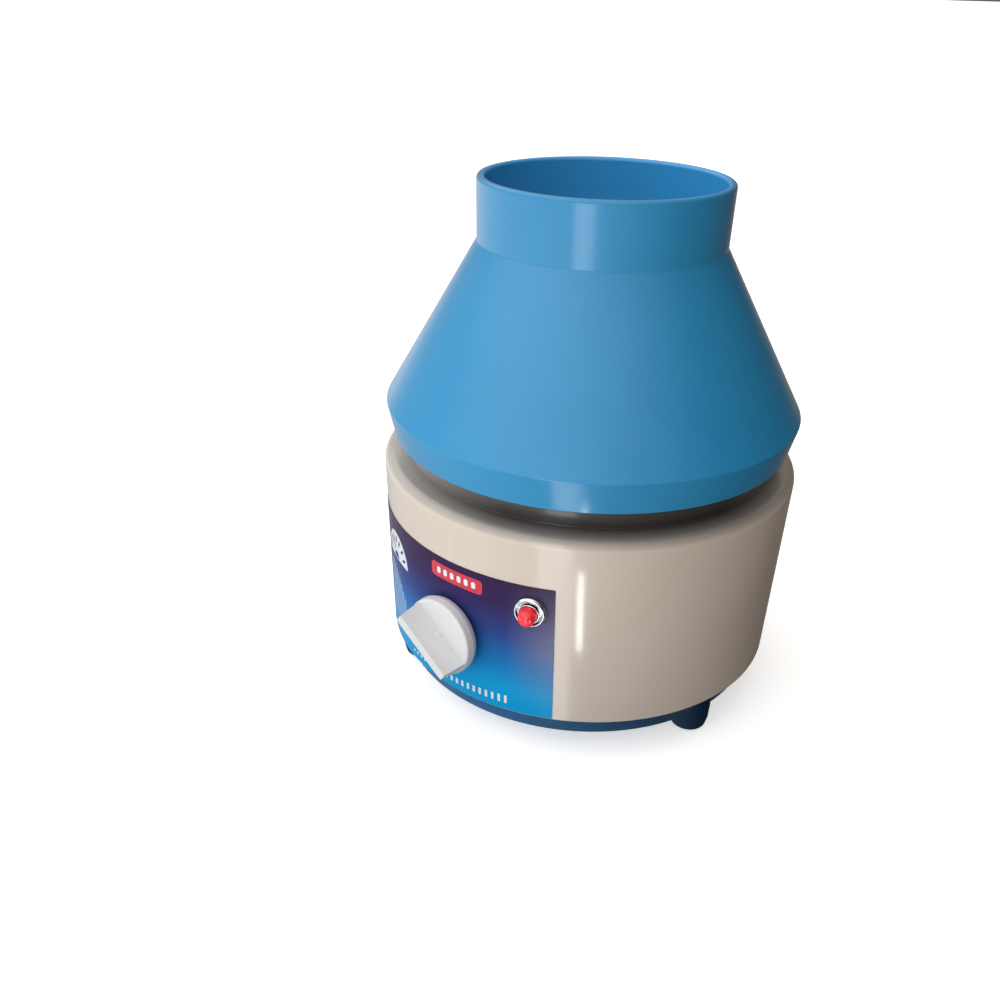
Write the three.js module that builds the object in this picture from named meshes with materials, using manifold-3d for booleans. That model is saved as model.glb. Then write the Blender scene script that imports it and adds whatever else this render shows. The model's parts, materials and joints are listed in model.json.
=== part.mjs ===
// A tabletop clinical centrifuge: a conical guard over an angle head, on a round motor housing.
// Millimetres, +Z up, the rotor axis on Z, feet standing on z = 0, control panel facing -Y.
// Azimuths are in degrees about +Z, from 0 at the front (-Y) towards +X.
import * as THREE from "three";
import { mergeVertices } from "three/addons/utils/BufferGeometryUtils.js";
import Module from "manifold-3d";

const wasm = await Module();
wasm.setup();

// Clearances and facets
const GAP = 0.3; // between pieces that touch
const SHELL_FACETS = 40; // round the guard, the housing and the pan
const HEAD_FACETS = 24; // round the rotor head and the knob
const PART_FACETS = 16; // round the motor's pieces
const SMALL_FACETS = 10; // round screws and nuts

// Levels of the outer shells
const FOOT_HEIGHT = 14;
const PAN_RIM_Z = 27.7;
const PAN_FLOOR = 3;
const HOUSING_FOOT_Z = PAN_RIM_Z + GAP;
const SHOULDER_Z = 138; // where the housing's side meets its rounded shoulder
const GUARD_FOOT_Z = 157;
const GUARD_EDGE_Z = 175.5; // the crease between the guard's band and its cone
const NECK_Z = 266;
const RIM_Z = 300;

// Radii of the outer shells
const PAN_FOOT_R = 109.2;
const PAN_R = 112.8; // at its rim, set in from the housing's lower edge
const HOUSING_FOOT_R = 118.2;
const HOUSING_R = 121.9;
const SHOULDER_ROUND = 6;
const HOUSING_WALL = 3;
const GUARD_FOOT_R = 115.6;
const GUARD_R = 120;
const GUARD_WALL = 4.2;
const NECK_FOOT_R = 68.7;
const NECK_R = 69.3;

// The deck, and the raised platform on it that carries and centres the guard
const DECK_Z = SHOULDER_Z + SHOULDER_ROUND;
const SEAT_Z = GUARD_FOOT_Z - GAP;
const SEAT_R = 106.4;
const PLATFORM_R = 104.2;
const PLATFORM_Z = 162;
const PLATFORM_HOLE_R = 24;
const COLLAR_R = 29;
const COLLAR_Z = PLATFORM_Z + 5;

// Feet and screws
const FOOT_AZIMUTHS = [79, 199, 319];
const SCREW_AZIMUTHS = [15, 135, 255];
const FOOT_PITCH_R = 101.8;
const FOOT_R = 11.7;
const FOOT_LIP_Z = 22; // where the lip that hugs the pan's side ends
const SCREW_PITCH_R = 102.5;

// Controls
const CONTROL_Z = 68.8;
const LAMP_Z = 99.5;
const LAMP_AZIMUTH = 24;
const KNOB_R = 22.9;
const KNOB_BACK = 121.7; // distances from the rotor axis, along the knob's own axis
const KNOB_FACE = 130.2;
const KNOB_REACH = 143.4;
const KNOB_TILT = -35; // the grip bar's slope, falling to the right
const LABEL_EDGES = [-43, 30.4]; // azimuths
const LABEL_LEVELS = [30.5, 114];
const LABEL_THICKNESS = 0.5;
const GLAND_AZIMUTH = 180;
const GLAND_Z = 48;
const FUSE_AZIMUTH = 150;
const FUSE_Z = 52;

// Motor
const SHAFT_R = 5;
const MOTOR_R = 45;
const PLATE_Z = 32.3;
const PLATE_THICKNESS = 2.5;
const LOWER_BELL_Z = PLATE_Z + PLATE_THICKNESS + GAP;
const STATOR_Z = 60.3;
const STATOR_HEIGHT = 40;
const UPPER_BELL_Z = STATOR_Z + STATOR_HEIGHT + GAP;
const UPPER_BELL_TOP = 124;
const MOUNT_PITCH_R = 60;
const BOLT_PITCH_R = 40.3;
const BOLT_AZIMUTHS = [90, 270];
const BRUSH_Z = 50.5;
const POLE_HALF_ANGLE = 55;
const POLE_NECK = 29;

// Rotor head: each shield leans in at the top by SHIELD_TILT and turns about the rotor axis
const SHIELDS = 6;
const SHIELD_FACETS = 12;
const SHIELD_TILT = 40;
const SHIELD_R = 10;
const SHIELD_WALL = 1.1;
const SHIELD_LENGTH = 92;
const MOUTH_R = 33; // the centre of a shield's mouth
const MOUTH_Z = 244;
const HEAD_BOSS_Z = 205;
const HEAD_TOP_Z = 226.5;

const radians = (degrees) => (degrees * Math.PI) / 180;
const housingRadius = (z) =>
  HOUSING_FOOT_R + ((HOUSING_R - HOUSING_FOOT_R) * (z - HOUSING_FOOT_Z)) / (SHOULDER_Z - HOUSING_FOOT_Z);

// ---- Solids -------------------------------------------------------------------------------

function solid(geometry) {
  const bare = geometry.clone();
  bare.deleteAttribute("normal");
  bare.deleteAttribute("uv");
  const merged = mergeVertices(bare, 1e-3);
  const mesh = new wasm.Mesh({
    numProp: 3,
    vertProperties: merged.attributes.position.array,
    triVerts: new Uint32Array(merged.index.array),
  });
  return new wasm.Manifold(mesh);
}

function geometryOf(manifold) {
  const mesh = manifold.getMesh();
  const geometry = new THREE.BufferGeometry();
  geometry.setAttribute("position", new THREE.BufferAttribute(mesh.vertProperties, 3));
  geometry.setIndex(new THREE.BufferAttribute(mesh.triVerts, 1));
  geometry.computeVertexNormals();
  return geometry;
}

function joined(...geometries) {
  return geometryOf(geometries.map(solid).reduce((whole, piece) => whole.add(piece)));
}

function cut(geometry, ...tools) {
  return geometryOf(tools.map(solid).reduce((whole, tool) => whole.subtract(tool), solid(geometry)));
}

function common(geometry, tool) {
  return geometryOf(solid(geometry).intersect(solid(tool)));
}

// A ring turned about Z. The profile's [r, z] corners run anticlockwise and close on themselves.
function turnedRing(profile, facets = PART_FACETS) {
  const points = [...profile, profile[0]].map(([r, z]) => new THREE.Vector2(r, z));
  return new THREE.LatheGeometry(points, facets).rotateX(Math.PI / 2);
}

// A solid turned about Z, whose profile starts and ends on the axis, lowest point first.
function turnedSolid(profile, facets = PART_FACETS) {
  const points = profile.map(([r, z]) => new THREE.Vector2(r, z));
  return geometryOf(solid(new THREE.LatheGeometry(points, facets).rotateX(Math.PI / 2)));
}

function rod(radius, from, to, facets = SMALL_FACETS) {
  const geometry = new THREE.CylinderGeometry(radius, radius, to - from, facets);
  return geometry.rotateX(Math.PI / 2).translate(0, 0, (from + to) / 2);
}

function tube(inner, outer, from, to, facets = PART_FACETS) {
  return turnedRing([[inner, from], [outer, from], [outer, to], [inner, to]], facets);
}

function block(x, y, z) {
  const geometry = new THREE.BoxGeometry(x[1] - x[0], y[1] - y[0], z[1] - z[0]);
  return geometry.translate((x[0] + x[1]) / 2, (y[0] + y[1]) / 2, (z[0] + z[1]) / 2);
}

function nut(bore, corner, from, to) {
  return cut(rod(corner, from, to, 6), rod(bore, from - 1, to + 1));
}

// A wedge of the space round Z between two azimuths, for cutting sectors out of rings.
function sector(fromAzimuth, toAzimuth, radius, z) {
  const shape = new THREE.Shape([new THREE.Vector2(0, 0)]);
  const steps = 12;
  for (let i = 0; i <= steps; i++) {
    const angle = radians(fromAzimuth + ((toAzimuth - fromAzimuth) * i) / steps);
    shape.lineTo(radius * Math.sin(angle), -radius * Math.cos(angle));
  }
  const geometry = new THREE.ExtrudeGeometry(shape, { depth: z[1] - z[0], bevelEnabled: false });
  return geometry.translate(0, 0, z[0]);
}

function arc(centre, radius, fromDegrees, toDegrees, steps) {
  const points = [];
  for (let i = 0; i <= steps; i++) {
    const angle = radians(fromDegrees + ((toDegrees - fromDegrees) * i) / steps);
    points.push([centre[0] + radius * Math.cos(angle), centre[1] + radius * Math.sin(angle)]);
  }
  return points;
}

// Moves a geometry made about Z so that its Z points outwards at an azimuth and height.
function outwards(geometry, azimuth, z) {
  return geometry.rotateX(Math.PI / 2).translate(0, 0, z).rotateZ(radians(azimuth));
}

function around(geometry, azimuth, radius) {
  return geometry.translate(0, -radius, 0).rotateZ(radians(azimuth));
}

// ---- Materials ----------------------------------------------------------------------------

const finish = (color, roughness, metalness = 0) => ({ color, roughness, metalness });
const BLUE_PLASTIC = finish(0x3f93c0, 0.3);
const DARK_BLUE_PLASTIC = finish(0x235a8c, 0.4);
const IVORY_PLASTIC = finish(0xc8bcb2, 0.25);
const WHITE_PLASTIC = finish(0xe4e2de, 0.3);
const BLACK_PLASTIC = finish(0x1c1d20, 0.5);
const RED_LENS = finish(0xe0283c, 0.1);
const CHROME = finish(0xd8dadc, 0.1, 1);
const STEEL = finish(0x9a9da2, 0.35, 1);
const ALUMINIUM = finish(0xc2c6ca, 0.4, 1);
const COPPER = finish(0xb8683a, 0.35, 1);
const RUBBER = finish(0x26272a, 0.85);
const LABEL_FILM = finish(0x2f3f96, 0.3);
const BOARD = finish(0x2f7a4a, 0.5);
const CARBON = finish(0x2e2e30, 0.8);

const centrifuge = new THREE.Group();
centrifuge.name = "centrifuge";

function add(name, geometry, look, parent = centrifuge) {
  const mesh = new THREE.Mesh(geometry, new THREE.MeshStandardMaterial(look));
  mesh.name = name;
  parent.add(mesh);
  return mesh;
}

// ---- Base pan, feet and their screws --------------------------------------------------------

const PAN_SIDE = [
  [PAN_FOOT_R, FOOT_HEIGHT],
  [PAN_FOOT_R + 1.4, FOOT_HEIGHT + 1.2],
  [PAN_R - 1.4, FOOT_HEIGHT + 4],
  [PAN_R - 0.6, FOOT_LIP_Z],
  [PAN_R, PAN_RIM_Z],
];

// The pan's rim carries a spigot that centres the housing.
function basePan() {
  const floor = FOOT_HEIGHT + PAN_FLOOR;
  const spigot = { outer: HOUSING_FOOT_R - HOUSING_WALL - 0.5, inner: 111.4, top: 36 };
  const inside = 109;
  const vent = 14;
  let pan = turnedRing(
    [
      [vent, FOOT_HEIGHT],
      ...PAN_SIDE,
      [spigot.outer, PAN_RIM_Z],
      [spigot.outer, spigot.top],
      [spigot.inner, spigot.top],
      [spigot.inner, PAN_RIM_Z + 2],
      [inside, PAN_RIM_Z],
      [inside, floor],
      [vent, floor],
    ],
    SHELL_FACETS,
  );
  const bossTop = 26;
  const bosses = FOOT_AZIMUTHS.map((a) => around(rod(6.5, floor - 1, bossTop), a, FOOT_PITCH_R));
  const footHoles = FOOT_AZIMUTHS.map((a) => around(rod(2.3, 0, 40, 8), a, FOOT_PITCH_R));
  const screwHoles = SCREW_AZIMUTHS.map((a) => around(rod(1.9, 0, 40, 8), a, SCREW_PITCH_R));
  pan = joined(pan, ...bosses);
  return cut(pan, ...footHoles, ...screwHoles);
}
add("base_pan", basePan(), DARK_BLUE_PLASTIC);

// A round foot whose outer side runs up past the pan's floor as a lip against the pan's side.
function foot(azimuth) {
  const recess = { radius: 5, top: 6 };
  const sole = FOOT_R - 3.2;
  const bore = 2.4;
  const column = turnedRing([
    [recess.radius, 0],
    [sole, 0],
    [FOOT_R - 1.1, 2],
    [FOOT_R, 6],
    [FOOT_R, FOOT_LIP_Z],
    [bore, FOOT_LIP_Z],
    [bore, recess.top],
    [recess.radius, recess.top],
  ]);
  const side = PAN_SIDE.map(([r, z]) => [r + GAP, z - GAP]);
  const top = side[side.length - 1];
  const room = turnedSolid([[0, side[0][1]], ...side, [0, top[1]]], SHELL_FACETS);
  return cut(around(column, azimuth, FOOT_PITCH_R), room);
}

// A screw whose shank rises from its head; z is the height of the underside of the joint.
function risingScrew(headRadius, headHeight, shankRadius, z, length) {
  return turnedSolid(
    [
      [0, z - headHeight],
      [headRadius * 0.8, z - headHeight],
      [headRadius, z - headHeight * 0.5],
      [headRadius, z],
      [shankRadius, z],
      [shankRadius, z + length],
      [0, z + length],
    ],
    SMALL_FACETS,
  );
}

FOOT_AZIMUTHS.forEach((azimuth, i) => {
  add(`foot_${i + 1}`, foot(azimuth), DARK_BLUE_PLASTIC);
  const screw = risingScrew(4.2, 2.4, 2, 6 - GAP, 19);
  add(`foot_screw_${i + 1}`, around(screw, azimuth, FOOT_PITCH_R), STEEL);
});
SCREW_AZIMUTHS.forEach((azimuth, i) => {
  const screw = risingScrew(3.6, 2.4, 1.6, FOOT_HEIGHT - GAP, 32);
  add(`housing_screw_${i + 1}`, around(screw, azimuth, SCREW_PITCH_R), STEEL);
});

// ---- Housing --------------------------------------------------------------------------------

function housing() {
  const centre = [HOUSING_R - SHOULDER_ROUND, SHOULDER_Z];
  const inner = PLATFORM_R - HOUSING_WALL;
  const edge = 1;
  const shell = turnedRing(
    [
      [HOUSING_FOOT_R, HOUSING_FOOT_Z],
      ...arc(centre, SHOULDER_ROUND, 0, 90, 5),
      [SEAT_R, DECK_Z],
      [SEAT_R, SEAT_Z],
      [PLATFORM_R, SEAT_Z],
      [PLATFORM_R, PLATFORM_Z - edge],
      [PLATFORM_R - edge, PLATFORM_Z],
      [COLLAR_R + 2, PLATFORM_Z],
      [COLLAR_R, COLLAR_Z],
      [PLATFORM_HOLE_R, COLLAR_Z],
      [PLATFORM_HOLE_R, PLATFORM_Z - HOUSING_WALL],
      [inner, PLATFORM_Z - HOUSING_WALL],
      [SEAT_R - HOUSING_WALL, SEAT_Z - HOUSING_WALL],
      [SEAT_R - HOUSING_WALL, DECK_Z - HOUSING_WALL],
      ...arc(centre, SHOULDER_ROUND - HOUSING_WALL, 90, 0, 3),
      [HOUSING_FOOT_R - HOUSING_WALL, HOUSING_FOOT_Z],
    ],
    SHELL_FACETS,
  );
  const bossFoot = FOOT_HEIGHT + PAN_FLOOR + GAP;
  const bosses = SCREW_AZIMUTHS.map((a) => around(rod(5.5, bossFoot, 58), a, SCREW_PITCH_R));
  const ribs = SCREW_AZIMUTHS.map((a) => around(block([-2, 2], [-14.2, 0], [38, 58]), a, SCREW_PITCH_R));
  const screwHoles = SCREW_AZIMUTHS.map((a) => around(rod(1.9, 0, 50, 8), a, SCREW_PITCH_R));
  const wallHole = (radius, azimuth, z) => outwards(rod(radius, 100, 130, PART_FACETS), azimuth, z);
  const wallHoles = [
    wallHole(4.9, 0, CONTROL_Z),
    wallHole(6.3, LAMP_AZIMUTH, LAMP_Z),
    wallHole(8.4, GLAND_AZIMUTH, GLAND_Z),
    wallHole(6.4, FUSE_AZIMUTH, FUSE_Z),
  ];
  return cut(joined(shell, ...bosses, ...ribs), ...screwHoles, ...wallHoles);
}
add("housing", housing(), IVORY_PLASTIC);

// The printed film that wraps round the front of the housing.
function controlLabel() {
  const [bottom, top] = LABEL_LEVELS;
  const face = (z, lift) => [housingRadius(z) + GAP + lift, z];
  const sleeve = turnedRing(
    [face(bottom, 0), face(bottom, LABEL_THICKNESS), face(top, LABEL_THICKNESS), face(top, 0)],
    SHELL_FACETS,
  );
  const film = common(sleeve, sector(LABEL_EDGES[0], LABEL_EDGES[1], 160, [0, 150]));
  const bushingHole = outwards(rod(5.2, 100, 130), 0, CONTROL_Z);
  const lampHole = outwards(rod(6.4, 100, 130), LAMP_AZIMUTH, LAMP_Z);
  return cut(film, bushingHole, lampHole);
}
add("control_label", controlLabel(), LABEL_FILM);

// ---- Speed regulator and its knob -------------------------------------------------------------

const REGULATOR_FACE = 113.3;
const BUSHING_END = 123.7;
const SPINDLE_R = 3;

function regulatorBody() {
  const can = rod(16, 95, REGULATOR_FACE, PART_FACETS);
  const bushing = rod(4.5, REGULATOR_FACE - 1, BUSHING_END);
  return cut(joined(can, bushing), rod(SPINDLE_R + GAP, 109, 130));
}
add("speed_regulator", outwards(regulatorBody(), 0, CONTROL_Z), BLACK_PLASTIC);
add("regulator_nut", outwards(nut(4.8, 7.5, 121, 123.2), 0, CONTROL_Z), STEEL);
add("regulator_spindle", outwards(rod(SPINDLE_R, 109.5, 136), 0, CONTROL_Z), STEEL);

// A round skirt with a tapered grip bar across it and a low boss in the middle.
function controlKnob() {
  const skirt = turnedSolid(
    [
      [0, KNOB_BACK],
      [KNOB_R - 1.5, KNOB_BACK],
      [KNOB_R, KNOB_BACK + 3],
      [KNOB_R, KNOB_FACE - 1.2],
      [KNOB_R - 1.2, KNOB_FACE],
      [0, KNOB_FACE],
    ],
    HEAD_FACETS,
  );
  const grip = { foot: 5.8, top: 2.6, length: 2 * KNOB_R };
  const height = KNOB_REACH - KNOB_FACE + 1;
  const section = new THREE.Shape(
    [
      [-grip.foot, 0],
      [grip.foot, 0],
      [grip.top, height - 0.8],
      [grip.top - 0.8, height],
      [0.8 - grip.top, height],
      [-grip.top, height - 0.8],
    ].map(([x, y]) => new THREE.Vector2(x, y)),
  );
  const bar = new THREE.ExtrudeGeometry(section, { depth: grip.length, bevelEnabled: false });
  bar.translate(0, 0, -grip.length / 2).rotateY(Math.PI / 2).rotateX(Math.PI / 2);
  bar.translate(0, 0, KNOB_FACE - 1);
  const ends = new THREE.CylinderGeometry(KNOB_R - 2.6, KNOB_R - 0.3, height, HEAD_FACETS);
  ends.rotateX(Math.PI / 2).translate(0, 0, KNOB_FACE - 1 + height / 2);
  const boss = turnedSolid([[0, KNOB_FACE - 1], [7.4, KNOB_FACE - 1], [6.4, 136], [0, 137]], PART_FACETS);
  const recess = rod(9.5, KNOB_BACK - 1, KNOB_BACK + 3.2, PART_FACETS);
  const bore = rod(SPINDLE_R + GAP, KNOB_BACK - 1, 136.4);
  const whole = joined(skirt, common(bar, ends), boss);
  return cut(whole, recess, bore).rotateZ(radians(KNOB_TILT));
}
add("control_knob", outwards(controlKnob(), 0, CONTROL_Z), WHITE_PLASTIC);

// ---- Pilot lamp --------------------------------------------------------------------------------

function lampPart(name, geometry, look) {
  add(name, outwards(geometry, LAMP_AZIMUTH, LAMP_Z), look);
}
const BEZEL_BACK = 122.3;
lampPart(
  "lamp_bezel",
  turnedRing([
    [5.2, 104],
    [5.9, 104],
    [5.9, BEZEL_BACK],
    [8.7, BEZEL_BACK],
    [8.7, BEZEL_BACK + 1.2],
    [8, BEZEL_BACK + 2.4],
    [7.4, BEZEL_BACK + 2.4],
    [5.2, BEZEL_BACK + 0.2],
  ]),
  CHROME,
);
lampPart(
  "lamp_lens",
  turnedSolid([[0, 117], [4.9, 117], [4.9, 128.6], [4.3, 130.8], [2.6, 132.4], [0, 133]]),
  RED_LENS,
);
lampPart("lamp_body", rod(4.5, 92, 116.6, PART_FACETS), BLACK_PLASTIC);
lampPart("lamp_nut", nut(6.2, 9, 112.6, 115.6), STEEL);

// ---- Mains inlet gland and fuse holder, at the back ---------------------------------------------

function glandPart(name, geometry, look) {
  add(name, outwards(geometry, GLAND_AZIMUTH, GLAND_Z), look);
}
const GLAND_BORE = 3.8;
const GLAND_FACE = 122;
const GLAND_END = 133;
glandPart(
  "gland_body",
  turnedRing([
    [GLAND_BORE, 104],
    [8, 104],
    [8, GLAND_FACE - 2.6],
    [11, GLAND_FACE - 2.6],
    [11, GLAND_FACE],
    [7.2, GLAND_FACE],
    [7.2, GLAND_END],
    [GLAND_BORE, GLAND_END],
  ]),
  BLACK_PLASTIC,
);
glandPart(
  "gland_cap",
  turnedRing([
    [7.6, GLAND_FACE + GAP],
    [10.4, GLAND_FACE + GAP],
    [10.4, 136],
    [8, 141],
    [6, KNOB_REACH],
    [GLAND_BORE, KNOB_REACH],
    [GLAND_BORE, GLAND_END + GAP],
    [7.6, GLAND_END + GAP],
  ]),
  BLACK_PLASTIC,
);

function fusePart(name, geometry, look) {
  add(name, outwards(geometry, FUSE_AZIMUTH, FUSE_Z), look);
}
const FUSE_FACE = 121.3;
fusePart(
  "fuse_holder",
  turnedSolid([
    [0, 92],
    [6, 92],
    [6, FUSE_FACE - 1.8],
    [8.4, FUSE_FACE - 1.8],
    [8.4, FUSE_FACE],
    [3.4, FUSE_FACE],
    [3.4, 95],
    [0, 95],
  ]),
  BLACK_PLASTIC,
);
fusePart("fuse_holder_nut", nut(6.3, 8.8, 111, 114), STEEL);
fusePart("fuse_cartridge", rod(2.6, 96, 116), CHROME);
fusePart(
  "fuse_cap",
  joined(
    turnedSolid([
      [0, 116.4],
      [3, 116.4],
      [3, FUSE_FACE + GAP],
      [6.4, FUSE_FACE + GAP],
      [6.4, 125.5],
      [5.6, 126.3],
      [0, 126.3],
    ]),
    block([-5.4, 5.4], [-1, 1], [125, 128]),
  ),
  BLACK_PLASTIC,
);

// ---- Electrical pieces on the pan ---------------------------------------------------------------

const BOARD_X = -88;
const FLOOR_Z = FOOT_HEIGHT + PAN_FLOOR + GAP;
add("control_board", block([BOARD_X - 1.6, BOARD_X], [-33, 33], [FLOOR_Z, 76]), BOARD);

function heatSink() {
  const back = block([BOARD_X + GAP, BOARD_X + 4], [-16, 16], [40, 70]);
  const fins = [-15, -5, 5, 15].map((y) => block([BOARD_X + 3, BOARD_X + 14], [y - 1, y + 1], [40, 70]));
  return joined(back, ...fins);
}
add("triac_heat_sink", heatSink(), ALUMINIUM);

function terminalBlock() {
  const body = block([-18, 18], [-6, 6], [FLOOR_Z, FLOOR_Z + 13]);
  const wells = [-12, 0, 12].map((x) => rod(3, FLOOR_Z + 5, FLOOR_Z + 20, 8).translate(x, 0, 0));
  return cut(body, ...wells);
}
add("terminal_block", around(terminalBlock(), 222, 90), WHITE_PLASTIC);

// ---- Motor ------------------------------------------------------------------------------------

[0, 120, 240].forEach((azimuth, i) => {
  const waist = (FLOOR_Z + PLATE_Z - GAP) / 2;
  const bobbin = turnedSolid(
    [
      [0, FLOOR_Z],
      [9, FLOOR_Z],
      [9, waist - 3],
      [7, waist],
      [9, waist + 3],
      [9, PLATE_Z - GAP],
      [0, PLATE_Z - GAP],
    ],
    SMALL_FACETS,
  );
  add(`motor_mount_${i + 1}`, around(bobbin, azimuth, MOUNT_PITCH_R), RUBBER);
});

const boltHoles = (from, to) => BOLT_AZIMUTHS.map((a) => around(rod(2.2, from, to, 8), a, BOLT_PITCH_R));
const plate = tube(15, 72, PLATE_Z, PLATE_Z + PLATE_THICKNESS, HEAD_FACETS);
add("motor_plate", cut(plate, ...boltHoles(0, 60)), STEEL);

const BEARING = { outer: 11, height: 7 };
const BEARING_SEAT_R = BEARING.outer + GAP;
const BELL_WALL = 2;
const SHAFT_HOLE_R = 6.5;

function lowerBell() {
  const floor = LOWER_BELL_Z + 3.2;
  const bell = turnedRing([
    [SHAFT_HOLE_R, LOWER_BELL_Z],
    [MOTOR_R, LOWER_BELL_Z],
    [MOTOR_R, STATOR_Z - GAP],
    [MOTOR_R - BELL_WALL, STATOR_Z - GAP],
    [MOTOR_R - BELL_WALL, floor],
    [14, floor],
    [14, floor + BEARING.height],
    [BEARING_SEAT_R, floor + BEARING.height],
    [BEARING_SEAT_R, floor],
    [SHAFT_HOLE_R, floor],
  ]);
  const windows = [0, 180].map((a) => outwards(block([-4.9, 4.9], [-4.9, 4.9], [30, 60]), a, BRUSH_Z));
  return cut(bell, ...boltHoles(0, 60), ...windows);
}
add("lower_motor_bell", lowerBell(), ALUMINIUM);

function upperBell() {
  const ceiling = UPPER_BELL_TOP - 3.2;
  const bell = turnedRing([
    [MOTOR_R - BELL_WALL, UPPER_BELL_Z],
    [MOTOR_R, UPPER_BELL_Z],
    [MOTOR_R, UPPER_BELL_TOP - 3],
    [MOTOR_R - 2, UPPER_BELL_TOP],
    [SHAFT_HOLE_R, UPPER_BELL_TOP],
    [SHAFT_HOLE_R, ceiling],
    [BEARING_SEAT_R, ceiling],
    [BEARING_SEAT_R, ceiling - BEARING.height],
    [14, ceiling - BEARING.height],
    [14, ceiling],
    [MOTOR_R - BELL_WALL, ceiling],
  ]);
  return cut(bell, ...boltHoles(100, 130));
}
add("upper_motor_bell", upperBell(), ALUMINIUM);

const lowerBearingZ = LOWER_BELL_Z + 3.2 + GAP;
const upperBearingZ = UPPER_BELL_TOP - 3.2 - GAP - BEARING.height;
const bearing = (z) => tube(SHAFT_R + GAP, BEARING.outer, z, z + BEARING.height, 16);
add("lower_bearing", bearing(lowerBearingZ), STEEL);
add("upper_bearing", bearing(upperBearingZ), STEEL);

// Laminations with two poles, front and back, and a slot on each side for the coils' legs.
function stator() {
  const shape = new THREE.Shape().absarc(0, 0, MOTOR_R, 0, 2 * Math.PI);
  const bore = new THREE.Path();
  const facets = 7;
  const corners = [];
  const addArc = (radius, from, to) => {
    for (let i = 0; i <= facets; i++) {
      const angle = radians(from + ((to - from) * i) / facets);
      corners.push(new THREE.Vector2(radius * Math.sin(angle), -radius * Math.cos(angle)));
    }
  };
  [0, 180].forEach((pole) => {
    addArc(22.8, pole - POLE_HALF_ANGLE, pole + POLE_HALF_ANGLE);
    addArc(36, pole + POLE_HALF_ANGLE, pole + 180 - POLE_HALF_ANGLE);
  });
  bore.setFromPoints(corners);
  shape.holes.push(bore);
  const options = { depth: STATOR_HEIGHT, bevelEnabled: false, curveSegments: PART_FACETS };
  const stack = new THREE.ExtrudeGeometry(shape, options).translate(0, 0, STATOR_Z);
  return cut(stack, ...boltHoles(50, 110));
}
add("stator_laminations", stator(), STEEL);

// One winding round one pole: two legs in the slots and an end turn above and below the stack.
function fieldCoil(azimuth) {
  const z = [STATOR_Z - 4.2, STATOR_Z + STATOR_HEIGHT + 5];
  const legs = 84;
  const ring = tube(POLE_NECK - 4.5, POLE_NECK + 5.5, z[0], z[1], 36);
  const whole = common(ring, sector(-legs, legs, 60, z));
  const window = [STATOR_Z - GAP, STATOR_Z + STATOR_HEIGHT + GAP];
  const opening = sector(-POLE_HALF_ANGLE - 2, POLE_HALF_ANGLE + 2, 60, window);
  return cut(whole, opening).rotateZ(radians(azimuth));
}
add("field_coil_1", fieldCoil(0), COPPER);
add("field_coil_2", fieldCoil(180), COPPER);

BOLT_AZIMUTHS.forEach((azimuth, i) => {
  const bolt = risingScrew(3.6, 2.4, 1.8, PLATE_Z - GAP, UPPER_BELL_TOP - PLATE_Z + 3);
  add(`motor_bolt_${i + 1}`, around(bolt, azimuth, BOLT_PITCH_R), STEEL);
});

const COMMUTATOR_R = 11;
[0, 180].forEach((azimuth, i) => {
  const sleeve = block([-4.5, 4.5], [-4.5, 4.5], [15, MOTOR_R + 3]);
  const channel = block([-3, 3], [-3, 3], [14, MOTOR_R + 1]);
  add(`brush_holder_${i + 1}`, outwards(cut(sleeve, channel), azimuth, BRUSH_Z), BLACK_PLASTIC);
  const brush = block([-2.7, 2.7], [-2.7, 2.7], [COMMUTATOR_R + GAP, 30]);
  add(`carbon_brush_${i + 1}`, outwards(brush, azimuth, BRUSH_Z), CARBON);
});

// ---- Rotor: everything that spins -----------------------------------------------------------------

const rotor = new THREE.Group();
rotor.name = "rotor";
centrifuge.add(rotor);
const BORE_R = SHAFT_R + GAP;

add(
  "motor_shaft",
  turnedSolid(
    [
      [0, 36],
      [SHAFT_R, 36],
      [SHAFT_R, HEAD_BOSS_Z - 8],
      [8, HEAD_BOSS_Z - 7],
      [8, HEAD_BOSS_Z - GAP],
      [SHAFT_R, HEAD_BOSS_Z - GAP],
      [SHAFT_R, HEAD_TOP_Z - 0.6],
      [4, HEAD_TOP_Z],
      [4, 238],
      [3.2, 239],
      [0, 239],
    ],
    16,
  ),
  STEEL,
  rotor,
);
add("commutator", tube(BORE_R, COMMUTATOR_R, 46, 55.4), COPPER, rotor);
add(
  "armature",
  turnedRing([
    [BORE_R, 56],
    [15, 56],
    [18, 60],
    [22, 61],
    [22, 100],
    [18, 101],
    [15, 106],
    [BORE_R, 106],
  ]),
  STEEL,
  rotor,
);

function coolingFan() {
  const z = [128, 140];
  const disc = tube(BORE_R, 38, z[0], z[0] + 1.6);
  const hub = tube(BORE_R, 10, z[0], z[1]);
  const blades = [];
  const count = 9;
  for (let i = 0; i < count; i++) {
    const blade = block([-0.8, 0.8], [-37, -9], [z[0] + 1, z[1] - 1]);
    blades.push(blade.rotateZ(radians((360 * i) / count)));
  }
  return joined(disc, hub, ...blades);
}
add("cooling_fan", coolingFan(), BLACK_PLASTIC, rotor);

// A point s below a shield's mouth along its axis, and t outwards across it, as [r, z].
function besideShield(s, t) {
  const tilt = radians(SHIELD_TILT);
  const r = MOUTH_R + s * Math.sin(tilt) + t * Math.cos(tilt);
  const z = MOUTH_Z - s * Math.cos(tilt) + t * Math.sin(tilt);
  return [r, z];
}

// Places a piece made about Z, with its mouth at SHIELD_LENGTH, in one of the head's places.
function inHead(geometry, azimuth) {
  const tilted = geometry.translate(0, 0, -SHIELD_LENGTH).rotateX(radians(-SHIELD_TILT));
  return tilted.translate(0, -MOUTH_R, MOUTH_Z).rotateZ(radians(azimuth));
}

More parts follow.
